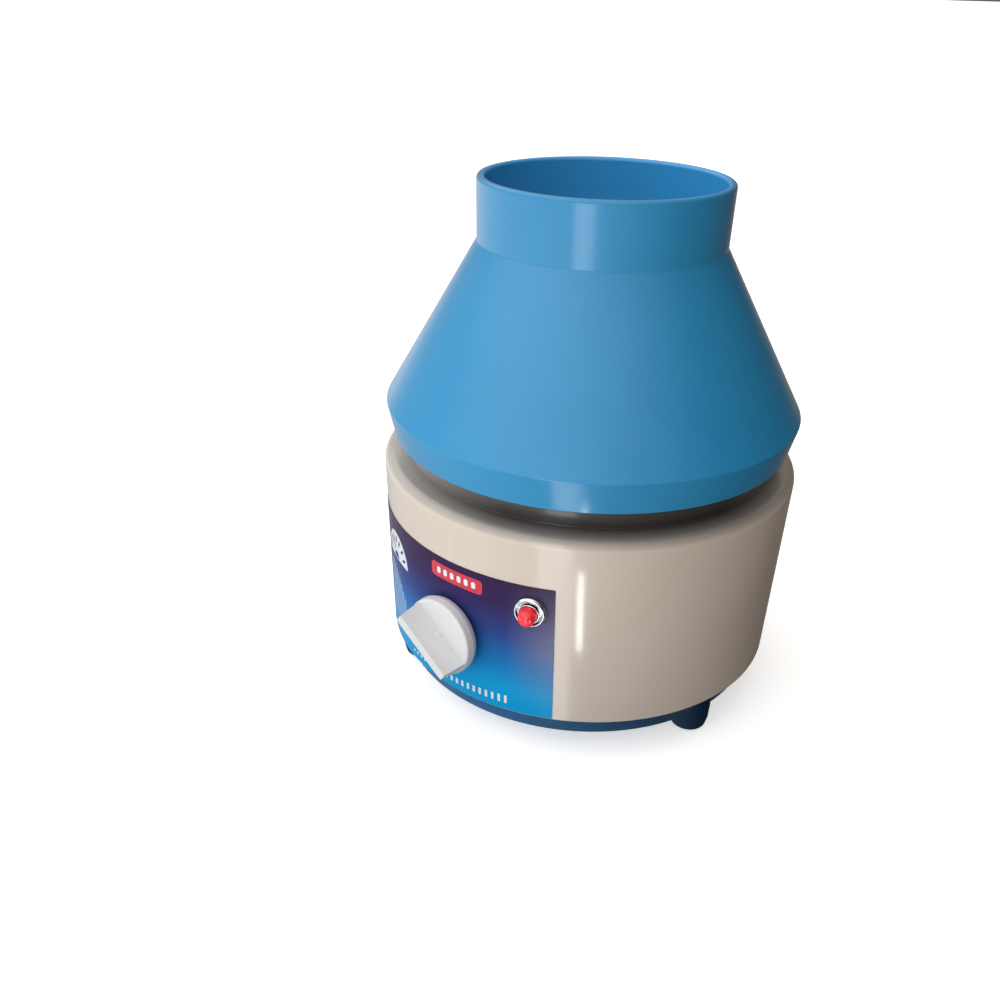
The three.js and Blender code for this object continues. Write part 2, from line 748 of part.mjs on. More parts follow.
function rotorHead() {
  const plateTop = 3;
  const plateBottom = 12;
  const dish = turnedRing(
    [
      [BORE_R, HEAD_BOSS_Z],
      [15, HEAD_BOSS_Z],
      [17, 214],
      besideShield(plateBottom, -22),
      besideShield(plateBottom, 18),
      besideShield(plateTop, 18),
      besideShield(plateTop, -22),
      [14, HEAD_TOP_Z],
      [BORE_R, HEAD_TOP_Z],
    ],
    HEAD_FACETS,
  );
  const bores = [];
  for (let i = 0; i < SHIELDS; i++) {
    const azimuth = (360 * i) / SHIELDS;
    bores.push(inHead(rod(SHIELD_R + 0.5, 20, 110, SHIELD_FACETS), azimuth));
    bores.push(inHead(rod(SHIELD_R + 2.8, SHIELD_LENGTH - plateTop, 110, SHIELD_FACETS), azimuth));
  }
  return cut(dish, ...bores);
}
add("rotor_head", rotorHead(), ALUMINIUM, rotor);
add("rotor_nut", nut(4.3, 9.5, HEAD_TOP_Z + GAP, 234), CHROME, rotor);

function tubeShield() {
  const inner = SHIELD_R - SHIELD_WALL;
  const flange = [SHIELD_LENGTH - 2.7, SHIELD_LENGTH - 0.9];
  return turnedSolid(
    [
      [0, 0],
      [6.5, 0.8],
      [SHIELD_R, 6],
      [SHIELD_R, flange[0]],
      [SHIELD_R + 1.9, flange[0]],
      [SHIELD_R + 1.9, flange[1]],
      [SHIELD_R, SHIELD_LENGTH],
      [inner, SHIELD_LENGTH],
      [inner, 6.5],
      [5.5, 2],
      [0, 1.3],
    ],
    SHIELD_FACETS,
  );
}
for (let i = 0; i < SHIELDS; i++) {
  add(`tube_shield_${i + 1}`, inHead(tubeShield(), (360 * i) / SHIELDS), ALUMINIUM, rotor);
}

// A rubber ring that closes the platform's hole round the shaft, seated on the collar.
add(
  "shaft_seal",
  turnedRing(
    [
      [SHAFT_HOLE_R, 163],
      [12, 162],
      [12, 160],
      [PLATFORM_HOLE_R - 0.4, 160],
      [PLATFORM_HOLE_R - 0.4, COLLAR_Z + GAP],
      [COLLAR_R, COLLAR_Z + GAP],
      [COLLAR_R, COLLAR_Z + 1.8],
      [20, COLLAR_Z + 2.6],
      [SHAFT_HOLE_R, 166],
    ],
    24,
  ),
  RUBBER,
);

// ---- Guard ----------------------------------------------------------------------------------------

function guard() {
  const slope = new THREE.Vector2(GUARD_R - NECK_FOOT_R, GUARD_EDGE_Z - NECK_Z).normalize();
  const inwards = [slope.y * GUARD_WALL, -slope.x * GUARD_WALL];
  const neckInner = NECK_FOOT_R - GUARD_WALL;
  const innerEdge = [GUARD_R + inwards[0], GUARD_EDGE_Z + inwards[1]];
  const innerNeckZ = innerEdge[1] + ((neckInner - innerEdge[0]) * slope.y) / slope.x;
  const lip = (NECK_R - neckInner - 0.4) / 2;
  const flange = { inner: PLATFORM_R + 0.5, top: GUARD_FOOT_Z + 3.2 };
  return turnedRing(
    [
      [flange.inner, GUARD_FOOT_Z],
      [GUARD_FOOT_R - 1, GUARD_FOOT_Z],
      [GUARD_FOOT_R, GUARD_FOOT_Z + 1],
      [GUARD_R - 0.3, GUARD_EDGE_Z - 1.2],
      [GUARD_R, GUARD_EDGE_Z],
      [NECK_FOOT_R, NECK_Z],
      ...arc([NECK_R - lip, RIM_Z - lip], lip, 0, 180, 4),
      [neckInner, innerNeckZ],
      innerEdge,
      [GUARD_FOOT_R - 3, flange.top + 2],
      [GUARD_FOOT_R - 5, flange.top],
      [flange.inner, flange.top],
    ],
    SHELL_FACETS,
  );
}
add("guard", guard(), BLUE_PLASTIC);

export default centrifuge;
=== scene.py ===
"""The looks of a tabletop centrifuge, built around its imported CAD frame.

Pieces are built in millimetres and scaled to metres at the end. Azimuths are in degrees about
+Z, from 0 at the control panel (-Y) towards +X, as in the part's own frame.
"""

import json
import math

import bmesh
import bpy
from mathutils import Matrix, Vector


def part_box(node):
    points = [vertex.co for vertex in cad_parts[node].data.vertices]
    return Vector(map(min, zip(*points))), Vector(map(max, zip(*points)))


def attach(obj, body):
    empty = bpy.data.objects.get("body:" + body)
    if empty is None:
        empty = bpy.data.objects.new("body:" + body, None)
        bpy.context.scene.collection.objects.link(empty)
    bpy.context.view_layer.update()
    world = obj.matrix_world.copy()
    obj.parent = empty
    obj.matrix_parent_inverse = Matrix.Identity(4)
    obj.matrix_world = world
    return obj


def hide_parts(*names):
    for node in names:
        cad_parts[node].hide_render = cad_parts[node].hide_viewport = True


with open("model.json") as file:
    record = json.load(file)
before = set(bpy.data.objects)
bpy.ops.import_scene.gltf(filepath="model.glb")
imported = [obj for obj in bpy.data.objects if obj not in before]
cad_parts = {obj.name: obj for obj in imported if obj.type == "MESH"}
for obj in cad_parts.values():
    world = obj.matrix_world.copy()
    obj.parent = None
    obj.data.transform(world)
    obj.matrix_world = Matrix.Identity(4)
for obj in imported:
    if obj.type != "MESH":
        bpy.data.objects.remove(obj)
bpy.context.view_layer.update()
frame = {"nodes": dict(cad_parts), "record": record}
MM = 0.001

# ---- Sizes, in millimetres ------------------------------------------------------------------


def box_mm(node):
    low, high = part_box(node)
    return low / MM, high / MM


GUARD_LOW, GUARD_HIGH = box_mm("guard")
LABEL_LOW, LABEL_HIGH = box_mm("control_label")
KNOB_LOW, KNOB_HIGH = box_mm("control_knob")

GUARD_R = GUARD_HIGH.x
GUARD_FOOT_Z = GUARD_LOW.z
RIM_Z = GUARD_HIGH.z
GUARD_EDGE_Z = GUARD_FOOT_Z + 18.5
NECK_Z = RIM_Z - 34
GUARD_WALL = 4.2
NECK_R = 69.3
NECK_FOOT_R = 68.7
GUARD_FOOT_R = GUARD_R - 4.4

PAN_Z = box_mm("base_pan")[0].z
HOUSING_R = box_mm("housing")[1].x
HOUSING_FOOT_R = 118.2
HOUSING_FOOT_Z = PAN_Z + 14.0
SHOULDER_ROUND = 6.0
SHOULDER_Z = 138.0
DECK_Z = SHOULDER_Z + SHOULDER_ROUND
HOUSING_WALL = 3.0
SEAT_R = 106.4
SEAT_Z = GUARD_FOOT_Z - 0.3
PLATFORM_R = 104.2
PLATFORM_Z = 162.0
PLATFORM_HOLE_R = 24.0
COLLAR_R = 29.0
COLLAR_Z = PLATFORM_Z + 5

PAN_R = 112.8
PAN_FOOT_R = 109.2
PAN_INSIDE_R = 109.0
SPIGOT_R = (111.4, 114.7)
SPIGOT_TOP = 36.0
PAN_RIM_Z = HOUSING_FOOT_Z - 0.3
PAN_FLOOR = 3.0
PAN_VENT_R = 14.0

FOOT_AZIMUTHS = (79, 199, 319)
SCREW_AZIMUTHS = (15, 135, 255)
FOOT_PITCH_R = 101.8
SCREW_PITCH_R = 102.5
FOOT_R = 11.7
FOOT_LIP_Z = 22.0

CONTROL_Z = (KNOB_LOW.z + KNOB_HIGH.z) / 2
KNOB_REACH = -KNOB_LOW.y
KNOB_BACK = -KNOB_HIGH.y
KNOB_R = 22.9
KNOB_FACE = KNOB_BACK + 8.5
KNOB_TILT = -35.0
LAMP_AZIMUTH = 24.0
LAMP_Z = 99.5
GLAND_AZIMUTH = 180.0
GLAND_Z = 48.0
GLAND_REACH = box_mm("gland_cap")[1].y
FUSE_AZIMUTH = 150.0
FUSE_Z = 52.0

LABEL_EDGES = (-43.0, 30.4)
LABEL_LEVELS = (LABEL_LOW.z, LABEL_HIGH.z)

SHIELDS = 6
SHIELD_TILT = 40.0
SHIELD_R = 10.0
SHIELD_WALL = 1.1
SHIELD_LENGTH = 92.0
MOUTH_R = 33.0
MOUTH_Z = 244.0
HEAD_BOSS_Z = 205.0
HEAD_TOP_Z = 226.5


def housing_radius(z):
    share = (z - HOUSING_FOOT_Z) / (SHOULDER_Z - HOUSING_FOOT_Z)
    return HOUSING_FOOT_R + (HOUSING_R - HOUSING_FOOT_R) * share


def at(azimuth, radius, z):
    angle = math.radians(azimuth)
    return Vector((radius * math.sin(angle), -radius * math.cos(angle), z))


# ---- Looks ----------------------------------------------------------------------------------

DAYLIGHT_AZIMUTH = -75.0  # of the pan's brightest side
SHADE_AZIMUTH = 46.0  # of the darkest painted shade in the recess


def srgb(red, green, blue):
    """A colour given as 0 to 255 display values, in the shader's linear values."""

    def linear(value):
        value /= 255
        return value / 12.92 if value <= 0.04045 else ((value + 0.055) / 1.055) ** 2.4

    return (linear(red), linear(green), linear(blue), 1.0)


class Nodes:
    """A node tree, and short calls that add a node to it and return the node's output."""

    def __init__(self, tree, place):
        self.tree = tree
        self.place = tree.nodes.new("ShaderNodeTexCoord").outputs[place]

    def node(self, kind, **settings):
        made = self.tree.nodes.new(kind)
        for key, value in settings.items():
            setattr(made, key, value)
        return made

    def join(self, source, target):
        self.tree.links.new(source, target)

    def stretched(self, scale, turn=(0, 0, 0)):
        mapping = self.node("ShaderNodeMapping")
        self.join(self.place, mapping.inputs["Vector"])
        mapping.inputs["Scale"].default_value = scale
        mapping.inputs["Rotation"].default_value = turn
        return mapping.outputs["Vector"]

    def noise(self, scale, detail=3.0, roughness=0.5, stretch=(1, 1, 1), turn=(0, 0, 0)):
        made = self.node("ShaderNodeTexNoise")
        self.join(self.stretched(stretch, turn), made.inputs["Vector"])
        made.inputs["Scale"].default_value = scale
        made.inputs["Detail"].default_value = detail
        made.inputs["Roughness"].default_value = roughness
        return made.outputs["Fac"]

    def cells(self, scale, feature="F1", stretch=(1, 1, 1)):
        made = self.node("ShaderNodeTexVoronoi", feature=feature)
        self.join(self.stretched(stretch), made.inputs["Vector"])
        made.inputs["Scale"].default_value = scale
        return made.outputs["Distance"]

    def waves(self, scale, kind, distortion=0.0, detail=0.0):
        made = self.node("ShaderNodeTexWave", wave_type=kind)
        if kind == "RINGS":
            made.rings_direction = "Z"
        else:
            made.bands_direction = "Z"
        self.join(self.place, made.inputs["Vector"])
        made.inputs["Scale"].default_value = scale
        made.inputs["Distortion"].default_value = distortion
        made.inputs["Detail"].default_value = detail
        return made.outputs["Fac"]

    def edges(self, low=0.5, high=0.6):
        """1 on outside corners, where a moulding wears, and 0 on flat faces."""
        geometry = self.node("ShaderNodeNewGeometry")
        return self.spread(geometry.outputs["Pointiness"], 0, 1, low, high)

    def part(self, source, axis):
        split = self.node("ShaderNodeSeparateXYZ")
        self.join(source, split.inputs[0])
        return split.outputs[axis]

    def height(self):
        return self.part(self.place, "Z")

    def rise(self):
        """The Z of the surface's normal: 1 where it faces up."""
        return self.part(self.node("ShaderNodeNewGeometry").outputs["Normal"], "Z")

    def radius(self):
        made = self.node("ShaderNodeVectorMath", operation="LENGTH")
        self.join(self.stretched((1, 1, 0)), made.inputs[0])
        return made.outputs["Value"]

    def toward(self, place, azimuth):
        made = self.node("ShaderNodeVectorMath", operation="DOT_PRODUCT")
        made.inputs[1].default_value = at(azimuth, 1, 0)
        self.join(place, made.inputs[0])
        return made.outputs["Value"]

    def facing(self, azimuth):
        """How nearly a point stands at an azimuth about the axis, from -1 to 1."""
        level = self.node("ShaderNodeVectorMath", operation="NORMALIZE")
        self.join(self.stretched((1, 1, 0)), level.inputs[0])
        return self.toward(level.outputs["Vector"], azimuth)

    def spread(self, source, low, high, from_low=0.0, from_high=1.0):
        made = self.node("ShaderNodeMapRange")
        self.join(source, made.inputs["Value"])
        made.inputs["From Min"].default_value = from_low
        made.inputs["From Max"].default_value = from_high
        made.inputs["To Min"].default_value = low
        made.inputs["To Max"].default_value = high
        return made.outputs["Result"]

    def math(self, operation, first, second):
        made = self.node("ShaderNodeMath", operation=operation)
        for socket, value in zip(made.inputs, (first, second)):
            if isinstance(value, (int, float)):
                socket.default_value = value
            else:
                self.join(value, socket)
        return made.outputs[0]

    def ramp(self, source, *stops):
        made = self.node("ShaderNodeValToRGB")
        self.join(source, made.inputs["Fac"])
        while len(made.color_ramp.elements) < len(stops):
            made.color_ramp.elements.new(0.5)
        for element, (position, colour) in zip(made.color_ramp.elements, stops):
            element.position = position
            element.color = colour
        return made.outputs["Color"]

    def blend(self, share, first, second, mode="MIX"):
        made = self.node("ShaderNodeMix", data_type="RGBA", blend_type=mode)
        for socket, value in zip((made.inputs[0], made.inputs[6], made.inputs[7]), (share, first, second)):
            if isinstance(value, (int, float, tuple)):
                socket.default_value = value
            else:
                self.join(value, socket)
        return made.outputs[2]


class Look(Nodes):
    """A procedural material: the nodes that feed one Principled shader."""

    def __init__(self, name, **sockets):
        self.material = bpy.data.materials.new(name)
        self.material.use_nodes = True
        super().__init__(self.material.node_tree, "Object")
        self.shader = self.tree.nodes["Principled BSDF"]
        self.bump_out = None
        for socket, value in sockets.items():
            self.shader.inputs[socket.replace("_", " ")].default_value = value

    def colour(self, source):
        self.join(source, self.shader.inputs["Base Color"])

    def roughness(self, source):
        self.join(source, self.shader.inputs["Roughness"])

    def bump(self, source, distance, strength=1.0):
        """Raises the surface by source times distance, in metres, on top of earlier bumps."""
        made = self.node("ShaderNodeBump")
        made.inputs["Strength"].default_value = strength
        made.inputs["Distance"].default_value = distance
        self.join(source, made.inputs["Height"])
        if self.bump_out is not None:
            self.join(self.bump_out, made.inputs["Normal"])
        self.bump_out = made.outputs["Normal"]
        self.join(self.bump_out, self.shader.inputs["Normal"])


def deck_shade(look, base):
    """Painted shade: darkens the recess under the guard's edge, most at SHADE_AZIMUTH, and a little of its
    crest.
    """
    radius, rise = look.radius(), look.rise()
    depth = look.spread(radius, 0.93, 0.58, SEAT_R * MM, (HOUSING_R - 2) * MM)
    wall = look.spread(radius, 1, 0, (SEAT_R + 1) * MM, (SEAT_R + 3) * MM)
    level = look.spread(rise, 0, 1, 0.68, 0.80)
    below = look.spread(look.height(), 1, 0, (SEAT_Z + 1) * MM, (SEAT_Z + 3) * MM)
    recess = look.math("MULTIPLY", look.math("MAXIMUM", level, wall), below)
    crest = look.math("MULTIPLY", look.spread(rise, 0, 0.5, 0.12, 0.7), below)
    unlit = look.spread(look.facing(SHADE_AZIMUTH), 0.1, 1, 0.1, 0.84)
    dark = look.math("MAXIMUM", look.math("MULTIPLY", recess, depth), crest)
    return look.blend(look.math("MULTIPLY", dark, unlit), base, srgb(44, 41, 42))


def pan_shade(look, base):
    """Darkens the pan on the side away from the daylight."""
    share = look.spread(look.facing(DAYLIGHT_AZIMUTH), 0.6, 0, -0.85, 0.1)
    return look.blend(share, base, srgb(6, 18, 26))


def bore_shade(look, base):
    """Paler inside the neck, where the walls light one another."""
    inside = look.spread(look.radius(), 0.55, 0, (NECK_R - 3) * MM, (NECK_R - 2) * MM)
    above = look.spread(look.height(), 0, 1, (NECK_Z - 30) * MM, NECK_Z * MM)
    return look.blend(look.math("MULTIPLY", inside, above), base, srgb(70, 170, 240))


def moulded_plastic(name, deep, pale, roughness, worn, coat=0.0, shade=None, specular=0.5):
    """Gloss or satin moulded plastic: slow tone drift, fine speckle, smudged gloss, worn corners."""
    look = Look(name, Coat_Weight=coat, Coat_Roughness=0.12, IOR=1.5, Specular_IOR_Level=specular)
    drift = look.noise(9, 4, 0.55)
    speckle = look.noise(1400, 2, 0.6)
    tone = look.math("ADD", look.math("MULTIPLY", drift, 0.75), look.math("MULTIPLY", speckle, 0.25))
    base = look.ramp(tone, (0.32, deep), (0.66, pale))
    scuffs = look.spread(look.noise(70, 5, 0.75, stretch=(1, 1, 0.25)), 0, 1, 0.62, 0.78)
    base = look.blend(look.math("MULTIPLY", scuffs, 0.05), base, worn)
    base = look.blend(look.math("MULTIPLY", look.edges(0.51, 0.6), 0.2), base, worn)
    look.colour(shade(look, base) if shade else base)
    smudges = look.noise(26, 6, 0.7)
    gloss = look.spread(smudges, roughness * 0.75, roughness * 1.35, 0.3, 0.7)
    look.roughness(look.math("ADD", gloss, look.math("MULTIPLY", scuffs, 0.12)))
    look.bump(look.noise(45, 2, 0.4), 0.00016, 0.35)
    look.bump(look.noise(2600, 2, 0.5), 0.00003, 0.5)
    return look.material


def printed_film():
    """The panel's film: purple at the top running to cyan at the foot, with a painted window reflection
    that pales it towards the right.
    """
    look = Look("label_film", Specular_IOR_Level=0.08, IOR=1.45)
    low, high = LABEL_LEVELS[0] * MM, LABEL_LEVELS[1] * MM
    share = look.spread(look.height(), 0, 1, low, high)
    wobble = look.math("MULTIPLY", look.noise(18, 3, 0.5), 0.06)
    level = look.math("ADD", look.math("SUBTRACT", share, 0.03), wobble)
    base = look.ramp(
        level,
        (0.0, srgb(0, 156, 215)),
        (0.16, srgb(0, 158, 220)),
        (0.36, srgb(16, 118, 186)),
        (0.58, srgb(44, 62, 132)),
        (0.80, srgb(52, 22, 70)),
        (1.0, srgb(52, 14, 46)),
    )
    # Painted reflection: a window's pale reflection painted in towards the right, strongest at mid height.
    right = look.spread(look.part(look.place, "X"), 0, 1, 0.036, 0.066)
    off_middle = look.math("ABSOLUTE", look.math("SUBTRACT", share, 0.55), 0.0)
    middle = look.spread(off_middle, 1, 0, 0.05, 0.5)
    painted_reflection = look.math("MULTIPLY", look.math("MULTIPLY", right, middle), 0.62)
    base = look.blend(painted_reflection, base, srgb(150, 146, 160))
    screen = look.spread(look.cells(2400), 0.0, 0.10, 0.2, 0.6)
    base = look.blend(screen, base, srgb(60, 120, 190))
    look.colour(base)
    look.roughness(look.spread(look.noise(40, 5, 0.7), 0.16, 0.34, 0.3, 0.7))
    look.bump(look.noise(160, 3, 0.5), 0.00008, 0.5)
    return look.material


def print_ink(name, deep, pale):
    """Ink of a printed mark: slight mottling and a screened edge."""
    look = Look(name, Coat_Weight=0.4, Coat_Roughness=0.1)
    mottle = look.noise(900, 3, 0.6)
    look.colour(look.ramp(mottle, (0.3, deep), (0.7, pale)))
    look.roughness(look.spread(look.noise(300, 3, 0.5), 0.22, 0.42))
    look.bump(look.noise(1500, 2, 0.5), 0.00002, 0.4)
    return look.material


def chrome():
    look = Look("chrome", Metallic=1.0)
    film = look.noise(120, 4, 0.6)
    look.colour(look.ramp(film, (0.3, srgb(205, 208, 212)), (0.7, srgb(238, 240, 242))))
    scratches = look.noise(500, 4, 0.7, stretch=(1, 6, 1), turn=(0.4, 0.2, 0.7))
    look.roughness(look.spread(scratches, 0.04, 0.2, 0.45, 0.8))
    look.bump(look.noise(220, 2, 0.4), 0.00004, 0.3)
    return look.material


def plated_steel():
    """Zinc-plated steel, with a faint yellow bloom and drawn streaks."""
    look = Look("steel", Metallic=1.0)
    bloom = look.noise(180, 4, 0.6)
    steps = ((0.3, srgb(150, 152, 156)), (0.55, srgb(184, 186, 188)), (0.8, srgb(192, 186, 160)))
    base = look.ramp(bloom, *steps)
    look.colour(look.blend(look.math("MULTIPLY", look.edges(), 0.5), base, srgb(222, 222, 222)))
    streaks = look.noise(700, 4, 0.7, stretch=(1, 1, 0.08))
    look.roughness(look.spread(streaks, 0.22, 0.46, 0.3, 0.7))
    look.bump(streaks, 0.00002, 0.5)
    return look.material


def laminations():
    """A varnished stack of thin sheets, seen edge on."""
    look = Look("lamination_steel", Metallic=0.8)
    sheets = look.waves(310, "BANDS")
    look.colour(look.ramp(sheets, (0.2, srgb(52, 50, 50)), (0.6, srgb(112, 112, 116))))
    look.roughness(look.spread(look.noise(240, 4, 0.6), 0.35, 0.6))
    look.bump(sheets, 0.00012, 0.8)
    return look.material


def cast_aluminium(name, ringed):
    """Aluminium: turned faces carry fine rings about the rotor axis, castings a fine pebble."""
    look = Look(name, Metallic=1.0)
    patches = look.noise(60, 5, 0.65)
    base = look.ramp(patches, (0.3, srgb(176, 179, 183)), (0.7, srgb(214, 216, 218)))
    look.colour(look.blend(look.math("MULTIPLY", look.edges(), 0.4), base, srgb(236, 236, 236)))
    look.roughness(look.spread(look.noise(300, 5, 0.7), 0.24, 0.44, 0.3, 0.7))
    if ringed:
        look.bump(look.waves(560, "RINGS", 0.4, 2), 0.000025, 0.6)
    else:
        look.bump(look.noise(900, 3, 0.6), 0.00005, 0.6)
    return look.material


def enamelled_copper():
    look = Look("copper", Metallic=0.85)
    drift = look.noise(150, 4, 0.6)
    look.colour(look.ramp(drift, (0.3, srgb(140, 66, 30)), (0.7, srgb(196, 110, 62))))
    look.roughness(look.spread(look.noise(500, 3, 0.6), 0.25, 0.45))
    look.bump(look.noise(1200, 2, 0.5), 0.00003, 0.5)
    return look.material


def black_rubber():
    look = Look("rubber", Sheen_Weight=0.15, IOR=1.5)
    level = look.spread(look.rise(), 0, 1, 0.2, 1.0)
    dust = look.math("MULTIPLY", level, look.noise(240, 6, 0.7))
    base = look.ramp(look.noise(50, 4, 0.6), (0.3, srgb(26, 26, 28)), (0.7, srgb(44, 44, 46)))
    look.colour(look.blend(look.math("MULTIPLY", dust, 0.35), base, srgb(120, 118, 112)))
    look.roughness(look.spread(look.noise(400, 4, 0.6), 0.62, 0.88))
    look.bump(look.noise(1700, 3, 0.6), 0.00006, 0.7)
    return look.material


def red_lens():
    look = Look("lens_red", Coat_Weight=0.4, Coat_Roughness=0.12, IOR=1.49, Emission_Strength=0.3)
    glow = look.noise(160, 2, 0.5)
    tint = look.ramp(glow, (0.3, srgb(205, 14, 34)), (0.7, srgb(246, 46, 62)))
    look.colour(tint)
    look.join(tint, look.shader.inputs["Emission Color"])
    look.roughness(look.spread(look.noise(500, 3, 0.5), 0.16, 0.28))
    look.bump(look.cells(900), 0.00008, 0.4)
    return look.material


def circuit_board():
    look = Look("board", Coat_Weight=0.5, Coat_Roughness=0.2)
    tracks = look.cells(170, "DISTANCE_TO_EDGE", stretch=(1, 1, 0.5))
    trace = look.spread(tracks, 1, 0, 0.05, 0.12)
    base = look.ramp(look.noise(80, 4, 0.5), (0.3, srgb(18, 84, 44)), (0.7, srgb(34, 116, 62)))
    look.colour(look.blend(look.math("MULTIPLY", trace, 0.6), base, srgb(86, 150, 84)))
    look.roughness(look.spread(look.noise(300, 3, 0.6), 0.3, 0.5))
    look.bump(trace, 0.00005, 0.6)
    return look.material


def carbon_block():
    look = Look("carbon", Metallic=0.2)
    grain = look.noise(1500, 4, 0.7)
    look.colour(look.ramp(grain, (0.3, srgb(28, 28, 30)), (0.75, srgb(78, 78, 82))))
    look.roughness(look.spread(look.noise(300, 3, 0.5), 0.45, 0.7))
    look.bump(grain, 0.00004, 0.6)
    return look.material


LOOKS = {
    "guard_blue": moulded_plastic(
        "guard_blue", srgb(38, 135, 186), srgb(48, 145, 195), 0.15, srgb(96, 166, 204), 0.08, bore_shade
    ),
    "pan_blue": moulded_plastic(
        "pan_blue", srgb(6, 86, 138), srgb(14, 98, 150), 0.34, srgb(70, 120, 158), 0.05, pan_shade, 0.3
    ),
    # The ivory housing carries deck_shade's painted shade in the recess under the guard.
    "ivory": moulded_plastic(
        "ivory", srgb(202, 190, 177), srgb(212, 201, 189), 0.16, srgb(230, 222, 212), 0.2, deck_shade
    ),
    "label_film": printed_film(),
    "knob_white": moulded_plastic(
        "knob_white", srgb(206, 208, 210), srgb(218, 220, 221), 0.34, srgb(222, 222, 222)
    ),
    "chrome": chrome(),
    "lens_red": red_lens(),
    "black_plastic": moulded_plastic(
        "black_plastic", srgb(20, 20, 22), srgb(34, 34, 37), 0.45, srgb(90, 90, 94)
    ),
    "terminal_plastic": moulded_plastic(
        "terminal_plastic", srgb(206, 202, 190), srgb(222, 218, 206), 0.5, srgb(240, 238, 230)
    ),
    "steel": plated_steel(),
    "lamination_steel": laminations(),
    "aluminium": cast_aluminium("aluminium", ringed=False),
    "copper": enamelled_copper(),
    "rubber": black_rubber(),
    "board": circuit_board(),
    "carbon": carbon_block(),
}
FOOT_BLUE = moulded_plastic(
    "foot_blue", srgb(1, 32, 58), srgb(4, 40, 68), 0.5, srgb(30, 70, 104), specular=0.15
)
TURNED_ALUMINIUM = cast_aluminium("turned_aluminium", ringed=True)
WHITE_INK = print_ink("white_ink", srgb(214, 222, 232), srgb(238, 242, 246))
RED_INK = print_ink("red_ink", srgb(196, 22, 50), srgb(214, 36, 62))
SKY_INK = print_ink("sky_ink", srgb(112, 158, 205), srgb(140, 180, 218))

# ---- Mesh helpers ---------------------------------------------------------------------------

SHELL_SEGMENTS = 192
PART_SEGMENTS = 96


def rounded(corners, closed=True, steps=6):
    """An outline through corners (r, z, radius), each corner an arc tangent to its two sides."""
    points = []
    last = len(corners) - 1
    for i, (r, z, radius) in enumerate(corners):
        here = Vector((r, z))
        if radius <= 0 or (not closed and i in (0, last)):
            points.append(here)
            continue
        before = Vector(corners[i - 1][:2]) - here
        after = Vector(corners[(i + 1) % len(corners)][:2]) - here
        half = before.angle(after) / 2
        reach = min(radius / math.tan(half), before.length * 0.48, after.length * 0.48)
        radius = reach * math.tan(half)
        middle = (before.normalized() + after.normalized()).normalized()
        centre = here + middle * (radius / math.sin(half))
        start = here + before.normalized() * reach - centre
        end = here + after.normalized() * reach - centre
        first = math.atan2(start.y, start.x)
        turn = (math.atan2(end.y, end.x) - first + math.pi) % (2 * math.pi) - math.pi
        for step in range(steps + 1):
            angle = first + turn * step / steps
            points.append(centre + radius * Vector((math.cos(angle), math.sin(angle))))
    return points


def arc(centre, radius, start, end, steps):
    """Points on an arc in the r, z plane, as corners with no rounding of their own."""
    corners = []
    for step in range(steps + 1):
        angle = math.radians(start + (end - start) * step / steps)
        corners.append((centre[0] + radius * math.cos(angle), centre[1] + radius * math.sin(angle), 0))
    return corners


def even(count):
    return [360 * i / count for i in range(count)]


def turned(outline, azimuths=None, closed=True, shape=None):
    """A mesh turned about Z from (r, z) points. shape(azimuth, r, z) may move a point's radius."""
    azimuths = azimuths or even(PART_SEGMENTS)
    bm = bmesh.new()
    columns = []
    poles = {}
    for azimuth in azimuths:
        column = []
        for index, (r, z) in enumerate(outline):
            if r < 1e-6:
                if index not in poles:
                    poles[index] = bm.verts.new((0, 0, z))
                column.append(poles[index])
            else:
                reach = shape(azimuth, r, z) if shape else r
                column.append(bm.verts.new(at(azimuth, reach, z)))
        columns.append(column)
    rows = len(outline) if closed else len(outline) - 1
    for i, column in enumerate(columns):
        beside = columns[(i + 1) % len(columns)]
        for j in range(rows):
            above = (j + 1) % len(outline)
            corners = [column[j], beside[j], beside[above], column[above]]
            corners = list(dict.fromkeys(corners))
            if len(corners) > 2:
                bm.faces.new(corners)
    return bm


def spun(corners, segments):
    """A closed mesh turned from corners, plain or with a radius, that start and end on the axis."""
    outline = rounded(corners, closed=False) if len(corners[0]) == 3 else corners
    return turned(outline, even(segments), closed=False)


def prism(points, low, high):
    """A closed mesh between two levels from a flat outline of (x, y) points."""
    bm = bmesh.new()
    bottom = [bm.verts.new((x, y, low)) for x, y in points]
    top = [bm.verts.new((x, y, high)) for x, y in points]
    bm.faces.new(list(reversed(bottom)))
    bm.faces.new(top)
    for i in range(len(points)):
        j = (i + 1) % len(points)
        bm.faces.new((bottom[i], bottom[j], top[j], top[i]))
    return bm


def regular(count, radius, start=0.0):
    """The (x, y) corners of a regular polygon."""
    turns = [math.radians(start + 360 * i / count) for i in range(count)]
    return [(radius * math.cos(a), radius * math.sin(a)) for a in turns]


def moved(bm, matrix):
    bmesh.ops.transform(bm, matrix=matrix, verts=bm.verts)
    return bm


def outwards(azimuth, z):
    """Takes a mesh made about Z to one whose Z points outwards at an azimuth and height."""
    turn = Matrix.Rotation(math.radians(azimuth), 4, "Z")
    return turn @ Matrix.Translation((0, 0, z)) @ Matrix.Rotation(math.pi / 2, 4, "X")


def around(azimuth, radius):
    return Matrix.Rotation(math.radians(azimuth), 4, "Z") @ Matrix.Translation((0, -radius, 0))


def in_head(azimuth):
    """Takes a mesh made about Z, with its mouth at SHIELD_LENGTH, to its place in the rotor head."""
    lean = Matrix.Rotation(math.radians(-SHIELD_TILT), 4, "X")
    place = Matrix.Translation((0, -MOUTH_R, MOUTH_Z))
    turn = Matrix.Rotation(math.radians(azimuth), 4, "Z")
    return turn @ place @ lean @ Matrix.Translation((0, 0, -SHIELD_LENGTH))


